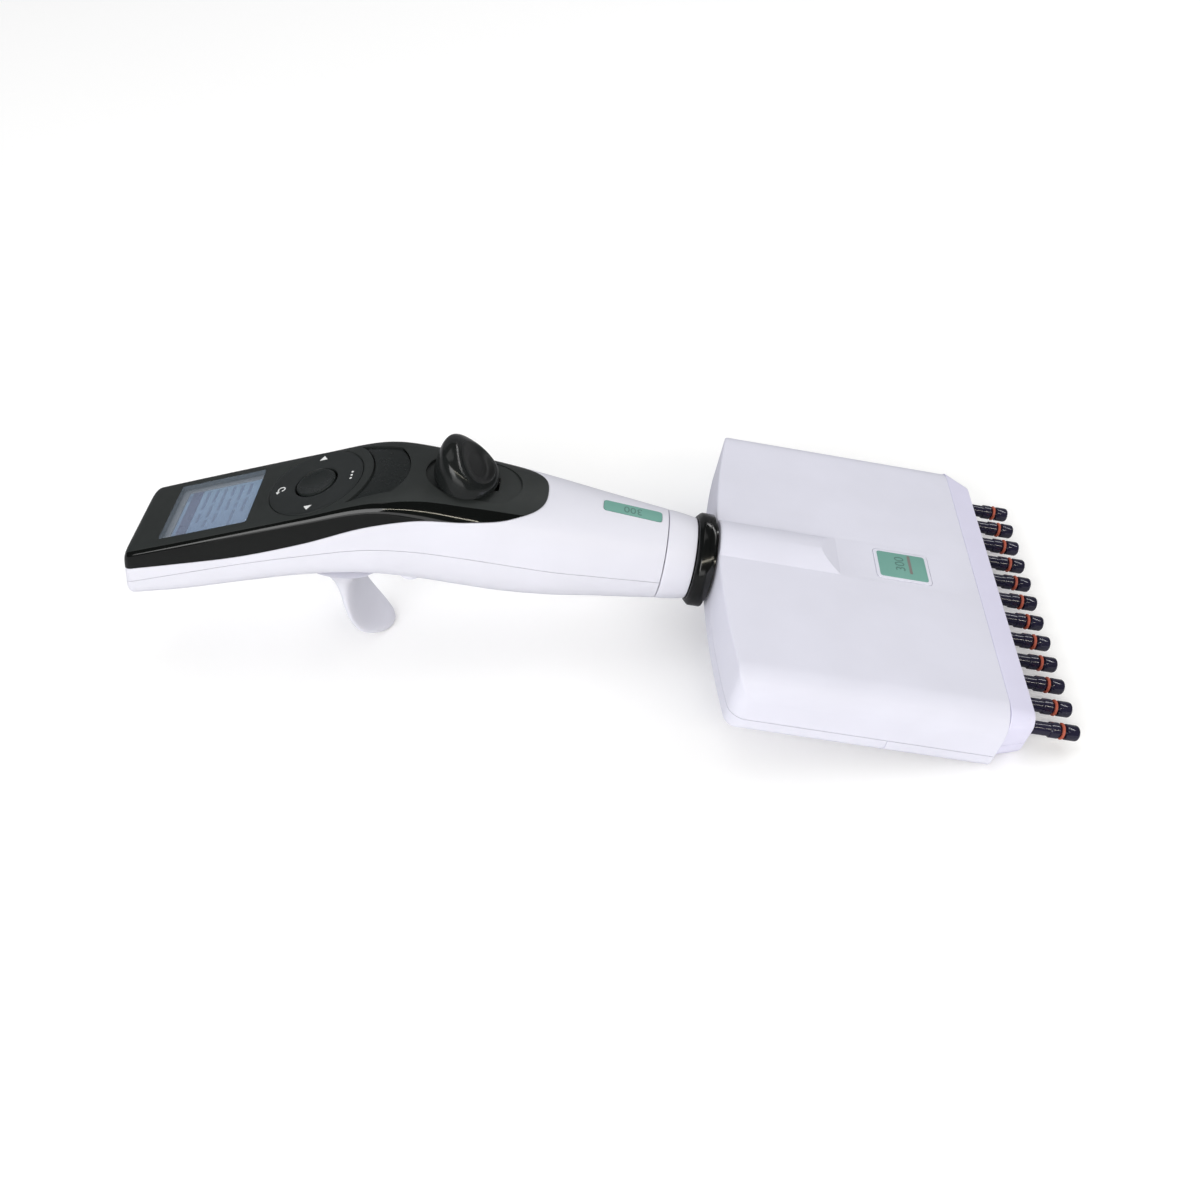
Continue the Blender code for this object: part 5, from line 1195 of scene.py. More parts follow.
@dataclass
class ControlPanel:
    """The black panel with its window, click wheel, round key and crescent key."""

    form: HandleForm
    shells: HandleShells
    window_x: Pair = (9.2, 37.8)
    window_half: float = 12.6
    window_corner: float = 0.7
    wheel_x: float = 57.4
    wheel_radius: float = 14.8
    wheel_bore: float = 6.7
    wheel_thickness: float = 2.5
    key_radius: float = 6.1
    run_inner: float = 18.4
    run_inner_half: float = 13.2
    run_outer_half: float = 10.4
    run_outer_x: float = 82.4
    run_bulge: float = 3.8
    run_depth: float = 0.6
    slot_x: Pair = (-189.4, -161.0)
    slot_half: float = 9.4
    slot_floor: float = 16.1
    notch: tuple[Pair, Pair] = ((-183.3, -167.7), (-3.3, 3.3))
    notch_floor: float = 10.0
    cut_floor: float = -6.0
    cut_top: float = 6.0
    chamfer_top: float = 0.6
    window_gap: float = 0.12
    wheel_gap: float = 0.14
    wheel_lead: float = 0.22
    run_gap: float = 0.32
    glass_levels: Pair = (-1.3, -0.06)
    module_grow: float = 0.5
    module_levels: Pair = (-5.1, -2.62)
    border_levels: Pair = (-2.7, -2.2)
    print_levels: Pair = (-2.66, -2.56)
    # The border's widths at the lowest and highest x, then at the lowest and highest y
    border: tuple[float, float, float, float] = (2.1, 0.9, 0.9, 1.5)
    # From the page's low x: the title band, and the small mark beside its far edge
    band_x: Pair = (1.3, 4.9)
    mark_x: Pair = (0.3, 1.0)
    mark_y: Pair = (4.0, 1.0)
    line_start: float = 6.6
    line_step: float = 2.9
    line_height: float = 1.0
    # Where the marks of each line start and end, as shares of the page
    text_lines: tuple[tuple[Pair, ...], ...] = (
        ((0.05, 0.42), (0.5, 0.68)), ((0.05, 0.3), (0.36, 0.6), (0.66, 0.8)),
        ((0.05, 0.5), (0.56, 0.74)), ((0.05, 0.24), (0.3, 0.52)),
        ((0.05, 0.36), (0.42, 0.5), (0.56, 0.86)), ((0.05, 0.28), (0.34, 0.62)))
    ink_levels: Pair = (-0.12, 0.015)
    arrow_reach: Pair = (11.1, 13.0)
    arrow_half: float = 1.25
    return_x: float = -11.3
    dots_x: float = 11.4
    dot_step: float = 1.5
    dot_radius: float = 0.36
    key_foot: float = -3.5
    run_foot: float = -3.2
    run_bevel: float = 0.25
    sides: int = 144

    @property
    def hub(self) -> Point:
        """The middle of the click wheel in the head's frame."""
        return self.wheel_x, 0.0, 0.0

    def crescent(self, grow: float) -> list[Pair]:
        """The outline of the crescent key in the head's plane.

        Args:
            grow: The clearance by which it is grown.

        Returns:
            The outline's points.
        """
        inner = self.run_inner - grow
        sweep = math.degrees(math.asin((self.run_inner_half + grow) / inner))
        outline = arc_points((self.wheel_x, 0.0), (inner, inner), sweep, -sweep, 40)
        half = self.run_outer_half + grow
        radius = (self.run_outer_half ** 2 + self.run_bulge ** 2) / (2 * self.run_bulge) + grow
        centre = self.run_outer_x + self.run_bulge + grow - radius
        sweep = math.degrees(math.asin(half / radius))
        return outline + arc_points((centre, 0.0), (radius, radius), -sweep, sweep, 40)

    def slot(self) -> list[Pair]:
        """The oval of the thumb slot, with elliptical ends.

        Returns:
            The outline's points.
        """
        end = min(self.slot_half, (self.slot_x[1] - self.slot_x[0]) / 2)
        return (arc_points((self.slot_x[1] - end, 0.0), (end, self.slot_half), -90, 90, 32)
                + arc_points((self.slot_x[0] + end, 0.0), (end, self.slot_half), 90, 270, 32))

    def build(self) -> None:
        """Build the panel and everything that sits in its face."""
        form = self.form
        panel = form.body("control_panel_dressed", [MATTE_BLACK, GLOSS_BLACK], banded=True)
        carve(panel, form.body("panel_hollow", [MATTE_BLACK], form.wall))
        shells, top = self.shells, self.shells.clear_top
        edge = shells.split_line("panel_edge", shells.panel_end, shells.edge_seam)
        above = [(shells.panel_end, top), (form.end_x - shells.clear_end, top)]
        carve(panel, shells.keeper("panel_keeper", edge + above), "INTERSECT")
        window, wheel, run, slot, notch = Skin(), Skin(), Skin(), Skin(), Skin()
        x, y = (grown(span, self.window_gap) for span in (self.window_x, mirrored(self.window_half)))
        window.prism(rounded_rectangle(x, y, self.window_corner), self.cut_floor, self.chamfer_top,
                     flare=self.window_gap)
        carve(panel, window.piece("window_hole", [MATTE_BLACK], HEAD))
        rim, lead, high = self.wheel_radius + self.wheel_gap, self.wheel_lead, self.chamfer_top
        wheel.turn([(self.cut_floor, 0.0), (self.cut_floor, rim), (-lead, rim), (high, rim + lead + high),
                    (high, 0.0)], 128, "Z", self.hub)
        carve(panel, wheel.piece("wheel_hole", [MATTE_BLACK], HEAD))
        run.prism(self.crescent(self.run_gap), self.cut_floor, self.cut_top)
        carve(panel, run.piece("run_hole", [MATTE_BLACK], HEAD))
        slot.prism(self.slot(), self.slot_floor, top)
        carve(panel, slot.piece("thumb_hole", [MATTE_BLACK]))
        notch.prism(rounded_rectangle(*self.notch, 0.5), self.notch_floor, top)
        carve(panel, notch.piece("post_hole", [MATTE_BLACK]))
        settle(panel, "handle", ["control_panel"])
        self.build_display()
        self.build_wheel()
        self.build_keys()

    def build_display(self) -> None:
        """Build the clear window and the display below it, with a generic page of marks."""
        glass = Skin()
        glass.prism(rounded_rectangle(self.window_x, mirrored(self.window_half), self.window_corner),
                    *self.glass_levels, soften=0.12)
        settle(glass.piece("window_pane", [GLASS], HEAD), "handle", ["display_window"])
        (x0, x1), half = grown(self.window_x, self.module_grow), self.window_half + self.module_grow
        module = Skin()
        module.prism(rounded_rectangle((x0, x1), (-half, half), 0.4), *self.module_levels)
        left, right = x0 + self.border[0], x1 - self.border[1]
        near, far = -half + self.border[2], half - self.border[3]
        for xs, ys in (((x0, left), (-half, half)), ((right, x1), (-half, half)),
                       ((left, right), (far, half)), ((left, right), (-half, near))):
            module.prism(rectangle(xs, ys), *self.border_levels, mark=1)

        def patch(xs: Pair, ys: Pair, mark: int) -> None:
            """Print one rectangle on the page."""
            module.prism(rectangle(xs, ys), *self.print_levels, mark=mark)

        patch(tuple(left + x for x in self.band_x), (near, far), 2)
        patch(tuple(left + x for x in self.mark_x), tuple(far - y for y in self.mark_y), 3)
        for row, spans in enumerate(self.text_lines):
            x = left + self.line_start + row * self.line_step
            for low, high in spans:
                start, end = between(near, far, 1 - high), between(near, far, 1 - low)
                patch((x, x + self.line_height), (start, end), 3)
        face = module.piece("display_face", [ScreenFinish(), SCREEN_BORDER, SCREEN_BAND, SCREEN_INK], HEAD)
        settle(face, "handle", ["lcd_module"])

    def build_wheel(self) -> None:
        """Build the click wheel with its rounded rims and its marks."""
        wheel = Skin()
        r, b, t = self.wheel_radius, self.wheel_bore, self.wheel_thickness
        wheel.turn([(-t, b + 0.2), (-t, r - 0.2), (-t + 0.2, r), (-0.2, r), (-0.06, r - 0.06), (0.0, r - 0.2),
                    (-0.03, r - 1.5), (-0.05, 10.0), (-0.03, b + 1.2), (0.0, b + 0.35), (-0.05, b + 0.12),
                    (-0.25, b), (-t + 0.2, b)], self.sides, "Z", self.hub)
        settle(wheel.piece("click_wheel", [WHEEL_BLACK], HEAD), "wheel", ["touch_wheel"])
        marks = Skin()
        for side in (1, -1):
            tip, foot = (self.wheel_x - 0.1, side * self.arrow_reach[1]), side * self.arrow_reach[0]
            wide = self.arrow_half * side
            marks.prism([tip, (tip[0] - wide, foot), (tip[0] + wide, foot)], *self.ink_levels)
        self._return_arrow(marks)
        self._dots(marks)
        settle(marks.piece("wheel_marks", [MARK_WHITE], HEAD), "wheel")

    def _return_arrow(self, marks: Skin) -> None:
        """Draw the plain arrow that turns back, as flat raised ink.

        Args:
            marks: The skin that gathers the wheel's marks.
        """
        x, y = self.wheel_x + self.return_x, -0.5
        outer = arc_points((x + 0.25, y + 0.35), (1.2, 1.05), -80, 180, 18)
        inner = arc_points((x + 0.25, y + 0.35), (0.85, 0.7), 180, -80, 18)
        for a, b, c, d in zip(outer, outer[1:], inner[::-1][1:], inner[::-1]):
            marks.prism([a, b, c, d], *self.ink_levels)
        marks.prism(rectangle((x - 0.95, x - 0.6), (y - 0.85, y + 0.4)), *self.ink_levels)
        marks.prism([(x - 1.45, y - 0.7), (x - 0.78, y - 1.75), (x - 0.1, y - 0.7)], *self.ink_levels)

    def _dots(self, marks: Skin) -> None:
        """Put three plain dots on the wheel, opposite the arrow that turns back.

        Args:
            marks: The skin that gathers the wheel's marks.
        """
        for i in (-1, 0, 1):
            spot = (self.wheel_x + self.dots_x, i * self.dot_step)
            marks.prism(arc_points(spot, (self.dot_radius,) * 2, 0, 345, 23), *self.ink_levels)

    def build_keys(self) -> None:
        """Build the round key and the crescent key."""
        key, r = Skin(), self.key_radius
        key.turn([(self.key_foot, 0.0), (self.key_foot, r), (-0.25, r), (0.03, r - 0.08), (0.16, r - 0.25),
                  (0.2, r - 0.5), (0.14, r - 1.1), (-0.02, r - 2.4), (-0.14, r - 4.0), (-0.18, 0.0)],
                 112, "Z", self.hub)
        settle(key.piece("round_key", [KEY_BLACK], HEAD), "ok_key", ["ok_button"])
        run = Skin()
        run.prism(self.crescent(0.0), self.run_foot, self.cut_top)
        crescent = run.piece("crescent_key", [KEY_BLACK], HEAD)
        carve(crescent, self.form.body("crescent_skin", [KEY_BLACK], self.run_depth), "INTERSECT")
        soften = crescent.modifiers.new("soften", "BEVEL")
        soften.width = self.run_bevel * MM
        soften.segments = 2
        soften.limit_method = "ANGLE"
        soften.angle_limit = math.radians(50)
        apply_modifiers(crescent)
        crescent.data.set_sharp_from_angle(angle=math.radians(40))
        settle(crescent, "run_key", ["run_button"])


@dataclass
class ThumbPad:
    """The thumb pad of the tip ejector: a glossy hump with a satin hollow."""

    x: float = -177.6
    half_length: float = 9.5
    half_width: float = 11.3
    floor: float = 17.6
    pad_height: float = 2.7
    hump_height: float = 7.85
    slope_u: Pair = (-0.42, 0.8)
    crest: float = -0.5
    back_fall: float = 0.85
    hollow_u: float = 0.3
    hollow_reach: Pair = (0.56, 0.74)
    hollow_depth: float = 1.3
    hollow_wall: float = 0.5
    rim_height: float = 0.12
    rim_share: float = 0.2
    post: tuple[Pair, Pair] = ((-183.0, -177.0), (-3.0, 3.0))
    post_foot: float = 13.1
    sides: int = 120
    rings: int = 46

    def height(self, u: float, v: float) -> float:
        """The pad's height over its floor.

        Args:
            u: The place along the pad, as a share of its half length.
            v: The place across it, as a share of its half width.

        Returns:
            The height in millimetres.
        """
        front = min(max((self.slope_u[1] - u) / (self.slope_u[1] - self.slope_u[0]), 0.0), 1.0)
        back = min(max((self.crest - u) / (1 + self.crest), 0.0), 1.0)
        rise = 0.15 * front + 0.85 * front * front * (3 - 2 * front)
        hump = rise * math.sqrt(1 - self.back_fall * back ** 2)
        raised = self.pad_height + self.hump_height * hump * math.sqrt(max(1 - v * v, 0.0))
        inside = 1 - math.hypot((u - self.hollow_u) / self.hollow_reach[0], v / self.hollow_reach[1])
        fall = min(max(inside / self.hollow_wall, 0.0), 1.0)
        return raised - self.hollow_depth * fall * fall * (3 - 2 * fall)

    def build(self) -> None:
        """Build the pad on its post and let it stand for the ejector's button."""
        skin = Skin()
        rows = []
        for k in range(self.rings + 1):
            share = 1.0 if k == 0 else math.cos((k - 1) / (self.rings - 1) * math.pi / 2) ** 0.8
            edge = max((share - 1 + self.rim_share) / self.rim_share, 0.0)
            lift = self.rim_height + (1 - self.rim_height) * math.sqrt(max(1 - edge * edge, 0.0))
            if k < 2:
                lift = k * self.rim_height
            ring = []
            for i in range(self.sides):
                u = share * math.cos(math.tau * i / self.sides)
                v = share * math.sin(math.tau * i / self.sides)
                ring.append((self.x + u * self.half_length, v * self.half_width,
                             self.floor + self.height(u, v) * lift))
            rows.append(ring)
        skin.loft(rows)
        spot = AXIS @ (Vector((self.x + self.hollow_u * self.half_length, 0.0, self.floor)) * MM)
        along, across = self.hollow_reach
        reach = (along * self.half_length * MM, across * self.half_width * MM, 1.0)
        finish = PadFinish("thumb_pad_black", (0.010, 0.0115, 0.0115), (0.008, 0.009, 0.009), 0.14, 0.2,
                           relief=0.012, specular=0.5, slot="satin_black_plastic", centre=tuple(spot),
                           tilt=math.asin(AXIS[0][2]), reach=reach)
        pad = skin.piece("thumb_pad", [finish], sharp=50.0)
        post = Skin()
        post.prism(rounded_rectangle(*self.post, 0.5), self.post_foot, self.floor + 1.0)
        carve(pad, post.piece("pad_post", [finish]), "UNION", 50.0)
        settle(pad, "ejector_drive", ["ejector_button"])


class Layout(Enum):
    """Where the copies of a repeated shape stand."""

    LINE = "line"
    POINTS = "points"


@dataclass
class Repeat:
    """A node tree that sets copies of one template along a line or on given points."""

    name: str
    layout: Layout
    finish: Finish

    def tree(self) -> bpy.types.NodeTree:
        """Build the tree with named inputs.

        Returns:
            The geometry node tree.
        """
        tree = bpy.data.node_groups.new(self.name + "_tree", "GeometryNodeTree")
        face = tree.interface
        face.new_socket("Geometry", in_out="INPUT", socket_type="NodeSocketGeometry")
        for name, kind in (("Template", "NodeSocketObject"), ("Count", "NodeSocketInt"),
                           ("Start", "NodeSocketVector"), ("Step", "NodeSocketVector"),
                           ("Turn", "NodeSocketFloat"), ("Seed", "NodeSocketInt"),
                           ("Finish", "NodeSocketMaterial")):
            face.new_socket(name, in_out="INPUT", socket_type=kind)
        face.new_socket("Geometry", in_out="OUTPUT", socket_type="NodeSocketGeometry")
        source, sink = add_node(tree, "NodeGroupInput"), add_node(tree, "NodeGroupOutput")
        info = add_node(tree, "GeometryNodeObjectInfo")
        copies = add_node(tree, "GeometryNodeInstanceOnPoints")
        angle = add_node(tree, "FunctionNodeRandomValue", data_type="FLOAT")
        spin = add_node(tree, "ShaderNodeCombineXYZ")
        real = add_node(tree, "GeometryNodeRealizeInstances")
        paint = add_node(tree, "GeometryNodeSetMaterial")
        link = tree.links.new
        if self.layout is Layout.LINE:
            line = add_node(tree, "GeometryNodeMeshLine", mode="OFFSET")
            link(source.outputs["Count"], line.inputs["Count"])
            link(source.outputs["Start"], line.inputs["Start Location"])
            link(source.outputs["Step"], line.inputs["Offset"])
            link(line.outputs["Mesh"], copies.inputs["Points"])
        else:
            link(source.outputs["Geometry"], copies.inputs["Points"])
        link(source.outputs["Template"], info.inputs["Object"])
        link(info.outputs["Geometry"], copies.inputs["Instance"])
        link(source.outputs["Turn"], angle.inputs[3])
        link(source.outputs["Seed"], angle.inputs["Seed"])
        link(angle.outputs[1], spin.inputs["X" if self.layout is Layout.LINE else "Z"])
        link(spin.outputs["Vector"], copies.inputs["Rotation"])
        link(copies.outputs["Instances"], real.inputs["Geometry"])
        link(real.outputs["Geometry"], paint.inputs["Geometry"])
        link(source.outputs["Finish"], paint.inputs["Material"])
        link(paint.outputs["Geometry"], sink.inputs["Geometry"])
        return tree

    def build(self, template: Skin, spots: Sequence[Point], step: Point = (0.0, 0.0, 0.0), count: int = 0,
              turn: float = 0.0, seed: int = 7, cutters: Sequence[Skin] = ()) -> bpy.types.Object:
        """Run the tree once and turn its result into a plain piece.

        Args:
            template: The shape to copy, in millimetres at the origin.
            spots: The points, or for a line its start alone.
            step: From one copy to the next.
            count: The number of copies in a line.
            turn: The most that a copy is turned about its axis, in radians.
            seed: The fixed seed of those turns.
            cutters: Shapes that are cut from the template first.

        Returns:
            The plain mesh object, in its place.
        """
        shape = template.piece(self.name + "_template", [self.finish], Matrix.Identity(4))
        for i, cutter in enumerate(cutters):
            carve(shape, cutter.piece(f"{self.name}_cutter_{i}", [self.finish], Matrix.Identity(4)))
        mesh = bpy.data.meshes.new(self.name)
        mesh.from_pydata([tuple(c * MM for c in spot) for spot in spots], [], [])
        made = link_object(self.name, mesh)
        tree = self.tree()
        modifier = made.modifiers.new("repeat", "NODES")
        modifier.node_group = tree
        values = {"Template": shape, "Count": count, "Start": [c * MM for c in spots[0]],
                  "Step": [c * MM for c in step], "Turn": turn, "Seed": seed,
                  "Finish": self.finish.material()}
        for item in tree.interface.items_tree:
            if item.in_out == "INPUT" and item.name in values:
                modifier[item.identifier] = values[item.name]
        apply_modifiers(made)
        bpy.data.objects.remove(shape, do_unlink=True)
        made.data.transform(AXIS)
        return made


@dataclass
class Neck:
    """The white ring at the end of the neck and the black collar that turns with the manifold."""

    ring_x: Pair = (-116.3, -107.3)
    ring_radius: Pair = (13.6, 12.5)
    bore: float = 11.7
    collar_x: Pair = (-107.0, -102.0)
    collar_radius: float = 14.3
    foot_x: float = -101.1
    foot_radius: float = 12.4
    collar_bore: float = 8.1
    flank_steps: int = 8
    sides: int = 120

    def build(self) -> None:
        """Turn both rings."""
        ring = Skin()
        x0, x1 = self.ring_x
        r0, r1 = self.ring_radius
        outline = [(x1, r1 - 0.35), (x1 - 0.1, r1 - 0.1), (x1 - 0.35, r1)]
        for k in range(1, self.flank_steps + 1):
            share = k / self.flank_steps
            outline.append((between(x1 - 0.35, x0 + 0.3, share), between(r1, r0, 1 - (1 - share) ** 1.5)))
        outline += [(x0 + 0.08, r0 - 0.08), (x0, r0 - 0.3), (x0, self.bore), (x1, self.bore)]
        ring.turn(outline, self.sides)
        settle(ring.piece("neck_ring_dressed", [WHITE]), "handle", ["neck_ring"])
        collar = Skin()
        a, b = self.collar_x
        r, foot = self.collar_radius, self.foot_radius
        outline = [(self.foot_x, foot), (b + 0.05, foot), (b, foot + 0.1), (b, r - 0.35), (b - 0.1, r - 0.1),
                   (b - 0.35, r), (b - 1.5, r), (b - 1.6, r - 0.12), (b - 1.8, r - 0.12), (b - 1.9, r),
                   (a + 1.5, r), (a + 1.25, r - 0.08), (a + 1.05, r - 0.22), (a + 0.15, r - 1.1),
                   (a + 0.03, r - 1.3), (a, r - 1.55), (a, self.collar_bore), (self.foot_x, self.collar_bore)]
        collar.turn(outline, self.sides)
        made = collar.piece("collar_dressed", [COLLAR_BLACK])
        settle(made, "manifold", ["swivel_collar"])


@dataclass
class Manifold:
    """The two white covers of the manifold, the badge and the ejector's shroud."""

    half_width: float = 58.5
    half_depth: float = 10.0
    neck_x: float = -100.8
    setback: float = 5.3
    tip_x: float = -19.7
    wall: float = 1.8
    front_round: float = 8.0
    back_round: float = 2.5
    plan_round: float = 4.5
    parting: float = -5.0
    seam: float = 0.1
    ridge_radius: float = 13.0
    ridge_end: float = -63.3
    facet_run: float = 6.2
    badge_x: Pair = (-51.65, -34.35)
    badge_half: float = 6.8
    badge_levels: Pair = (9.4, 10.2)
    screw_spots: tuple[Pair, ...] = ((-40.0, -36.0), (-40.0, 36.0))
    channels: int = 12
    pitch: float = 9.0
    edge_round: float = 0.7
    hollow_overshoot: float = 5.0
    ridge_run: float = 12.0
    slab_half: float = 200.0
    slab_reach: float = 60.0
    neck_hole: float = 8.1
    # How far the hole runs inwards and outwards of the neck end
    neck_depth: Pair = (4.0, 1.0)
    pocket_gap: float = 0.12
    pocket_levels: Pair = (9.1, 14.0)
    # Where the hole starts, then the end and radius of its seat and of its bore
    screw_hole: tuple[float, Pair, Pair] = (-30.0, (-8.6, 2.2), (-5.5, 1.4))
    latch_x: Pair = (-51.0, -50.45)
    latch_levels: Pair = (-8.3, -4.0)
    latch_depth: float = 0.35
    frame_width: float = 1.05
    bar: tuple[Pair, Pair] = ((-41.0, -40.1), (-3.1, 5.2))
    figures_spot: Pair = (-43.6, 0.9)
    shroud_tip: float = -10.9
    shroud_inset: float = 1.2
    skirt_length: float = 10.5
    # Half the width and half the depth of the skirt and of the cavity
    skirt_half: Pair = (50.0, 7.9)
    cavity_half: Pair = (53.5, 6.8)
    tip_wall: float = 2.0
    # The shroud's sections: from its back or its tip, how far in, low and high z, corner radius
    shroud_back: tuple[tuple[float, ...], ...] = ((0.0, 0.15, -8.65, 9.65, 4.8), (0.15, 0.0, -8.8, 9.8, 5.0))
    shroud_front: tuple[tuple[float, ...], ...] = (
        (-0.5, 2.83, -8.05, 7.16, 4.0), (-0.15, 3.02, -7.9, 6.98, 3.9), (0.0, 3.35, -7.6, 6.66, 3.7))
    # The windows of the nozzles: from the shroud's tip, and the radius
    window: tuple[Pair, ...] = ((1.0, 0.0), (1.0, 3.9), (0.0, 3.1), (-0.2, 2.9), (-4.0, 2.9), (-4.0, 0.0))
    # The groove on each side of the shroud: beyond and within its half width at the back,
    # and both within it at the tip
    seam_back: Pair = (0.4, 0.12)
    seam_front: Pair = (2.2, 3.3)
    seam_levels: Pair = (-1.86, -1.72)

    def roof(self, y: float) -> float:
        """Follow the shallow arc of the neck end.

        Args:
            y: The place across the manifold.

        Returns:
            The arc's place along the axis.
        """
        radius = (self.half_width ** 2 + self.setback ** 2) / (2 * self.setback)
        return self.neck_x + radius - math.sqrt(radius ** 2 - y ** 2)

    def block(self, name: str, inset: float = 0.0) -> bpy.types.Object:
        """The manifold's block with soft edges, or with an inset the cutter of its hollow.

        Args:
            name: The object's name.
            inset: How far the block's faces are moved inwards.

        Returns:
            The block.
        """
        half, top = self.half_width - inset, self.half_depth - inset
        front, back = self.front_round - inset, max(self.back_round - inset, 0.5)
        soft = 0.0 if inset else self.edge_round
        ys = [half - front + front * math.sin(math.radians(a)) for a in range(0, 88, 6)]
        ys += [half - front + front * math.sin(math.radians(a)) for a in (86.5, 88.5)]
        ys += [half] + [k * (half - front) / 16 for k in range(16)] + [half - back]
        ys = sorted(set(round(y, 5) for y in ys))
        skin = Skin()
        rings = []
        for y in [-v for v in reversed(ys[1:])] + ys:
            over_front, over_back = max(abs(y) - (half - front), 0.0), max(abs(y) - (half - back), 0.0)
            high = top - front + math.sqrt(max(front ** 2 - over_front ** 2, 0.0))
            low = -top + back - math.sqrt(max(back ** 2 - over_back ** 2, 0.0))
            corner = self.plan_round - inset
            over = min(max(abs(y) - (half - corner), 0.0), corner)
            x0 = self.roof(y) + inset + corner - math.sqrt(corner ** 2 - over ** 2)
            x1 = self.tip_x + (self.hollow_overshoot if inset else 0.0)
            ring = []
            for cx, cz, sx, start, r in ((x1, high, -1, 0, soft * 0.4), (x0, high, 1, 90, soft),
                                         (x0, low, 1, 180, soft), (x1, low, -1, 270, soft * 0.4)):
                sz = -1 if cz == high else 1
                for k in range(5 if soft else 1):
                    angle = math.radians(start + 22.5 * k)
                    ring.append((cx + sx * r + r * math.cos(angle), y, cz + sz * r + r * math.sin(angle)))
            rings.append(ring)
        skin.loft(rings)
        return skin.piece(name, [COVER])

    def ridge(self) -> bpy.types.Object:
        """The neck fairing, half round with a sloping end.

        Returns:
            The fairing as a closed piece.
        """
        foot = self.half_depth - self.wall / 2
        slope = self.facet_run / (self.ridge_radius - self.half_depth)
        start = self.roof(0.0) + 0.25
        rings = []
        full = self.ridge_radius
        for x, r in ((start, full - 0.6), (start + 0.18, full - 0.22), (start + 0.6, full),
                     (start + self.ridge_run, full), (None, full)):
            sweep = math.asin(math.sqrt(r ** 2 - foot ** 2) / r)
            ring = []
            for k in range(57):
                angle = sweep * (2 * k / 56 - 1)
                y, z = r * math.sin(angle), r * math.cos(angle)
                ring.append((self.ridge_end - (z - self.half_depth) * slope if x is None else x, y, z))
            rings.append(ring)
        skin = Skin()
        skin.loft(rings)
        return skin.piece("ridge", [COVER])

    def _slab(self, name: str, levels: Pair) -> bpy.types.Object:
        """A wide slab that keeps one cover.

        Args:
            name: The object's name.
            levels: Its lower and upper level.

        Returns:
            The slab.
        """
        slab = Skin()
        slab.prism(rectangle(mirrored(self.slab_half), mirrored(self.slab_half)), *levels)
        return slab.piece(name, [COVER])

    def _neck_hole(self) -> bpy.types.Object:
        """The hole that the hub passes.

        Returns:
            The hole's cutter.
        """
        hole = Skin()
        inner, outer = self.neck_depth
        hole.turn(stepped(self.neck_x + inner, (self.neck_x - outer, self.neck_hole)), 72)
        return hole.piece("neck_hole", [COVER])

    def build(self) -> None:
        """Build both covers, the badge and the shroud."""
        front = self.block("front_cover_dressed")
        carve(front, self.ridge(), "UNION", 26.0)
        carve(front, self.block("front_hollow_block", self.wall))
        carve(front, self._slab("front_slab", (self.parting + self.seam, self.slab_reach)), "INTERSECT")
        carve(front, self._neck_hole())
        pocket = Skin()
        x, y = (grown(span, self.pocket_gap) for span in (self.badge_x, mirrored(self.badge_half)))
        pocket.prism(rounded_rectangle(x, y, 1.5), *self.pocket_levels)
        carve(front, pocket.piece("badge_pocket", [COVER]), sharp=26.0)
        settle(front, "manifold", ["manifold_front_cover"])

        back = self.block("back_cover_dressed")
        carve(back, self.block("back_hollow_block", self.wall))
        carve(back, self._slab("back_slab", (-self.slab_reach, self.parting - self.seam)), "INTERSECT")
        carve(back, self._neck_hole())
        for i, (x, y) in enumerate(self.screw_spots):
            hole = Skin()
            hole.turn(stepped(*self.screw_hole), 36, "Z", (x, y, 0.0))
            carve(back, hole.piece(f"cover_hole_{i}", [COVER]))
        for side in (-1, 1):
            tick = Skin()
            reach = sorted(side * (self.half_width + step) for step in (-self.latch_depth, 1.0))
            tick.prism(rounded_rectangle(self.latch_x, reach, 0.1, 2), *self.latch_levels)
            carve(back, tick.piece(f"latch_mark_{side + 1}", [COVER]))
        settle(back, "manifold", ["manifold_back_cover"])
        self.build_badge()
        self.build_shroud()

    def build_badge(self) -> None:
        """Build the badge: white frame, teal field, a bar and generic figures."""
        badge = Skin()
        x, y, (low, high) = self.badge_x, mirrored(self.badge_half), self.badge_levels
        badge.prism(rounded_rectangle(x, y, 1.4), low, high, soften=0.25)
        field_x, field_y = grown(x, -self.frame_width), grown(y, -self.frame_width)
        badge.prism(rounded_rectangle(field_x, field_y, 0.9), low + 0.1, high + 0.05, soften=0.06, mark=1)
        badge.prism(rounded_rectangle(*self.bar, 0.2, 3), low + 0.2, high + 0.09, mark=2)
        settle(badge.piece("badge_plate", [COVER, TEAL, BAR_GREY]), "manifold", ["front_badge"])
        figures = Lettering("badge_figures", "300", 4.4, 0.06, TEAL_DEEP, 90.0)
        spot = Matrix.Translation(Vector((*self.figures_spot, high + 0.03)) * MM)
        figures.build(AXIS @ spot, "manifold")

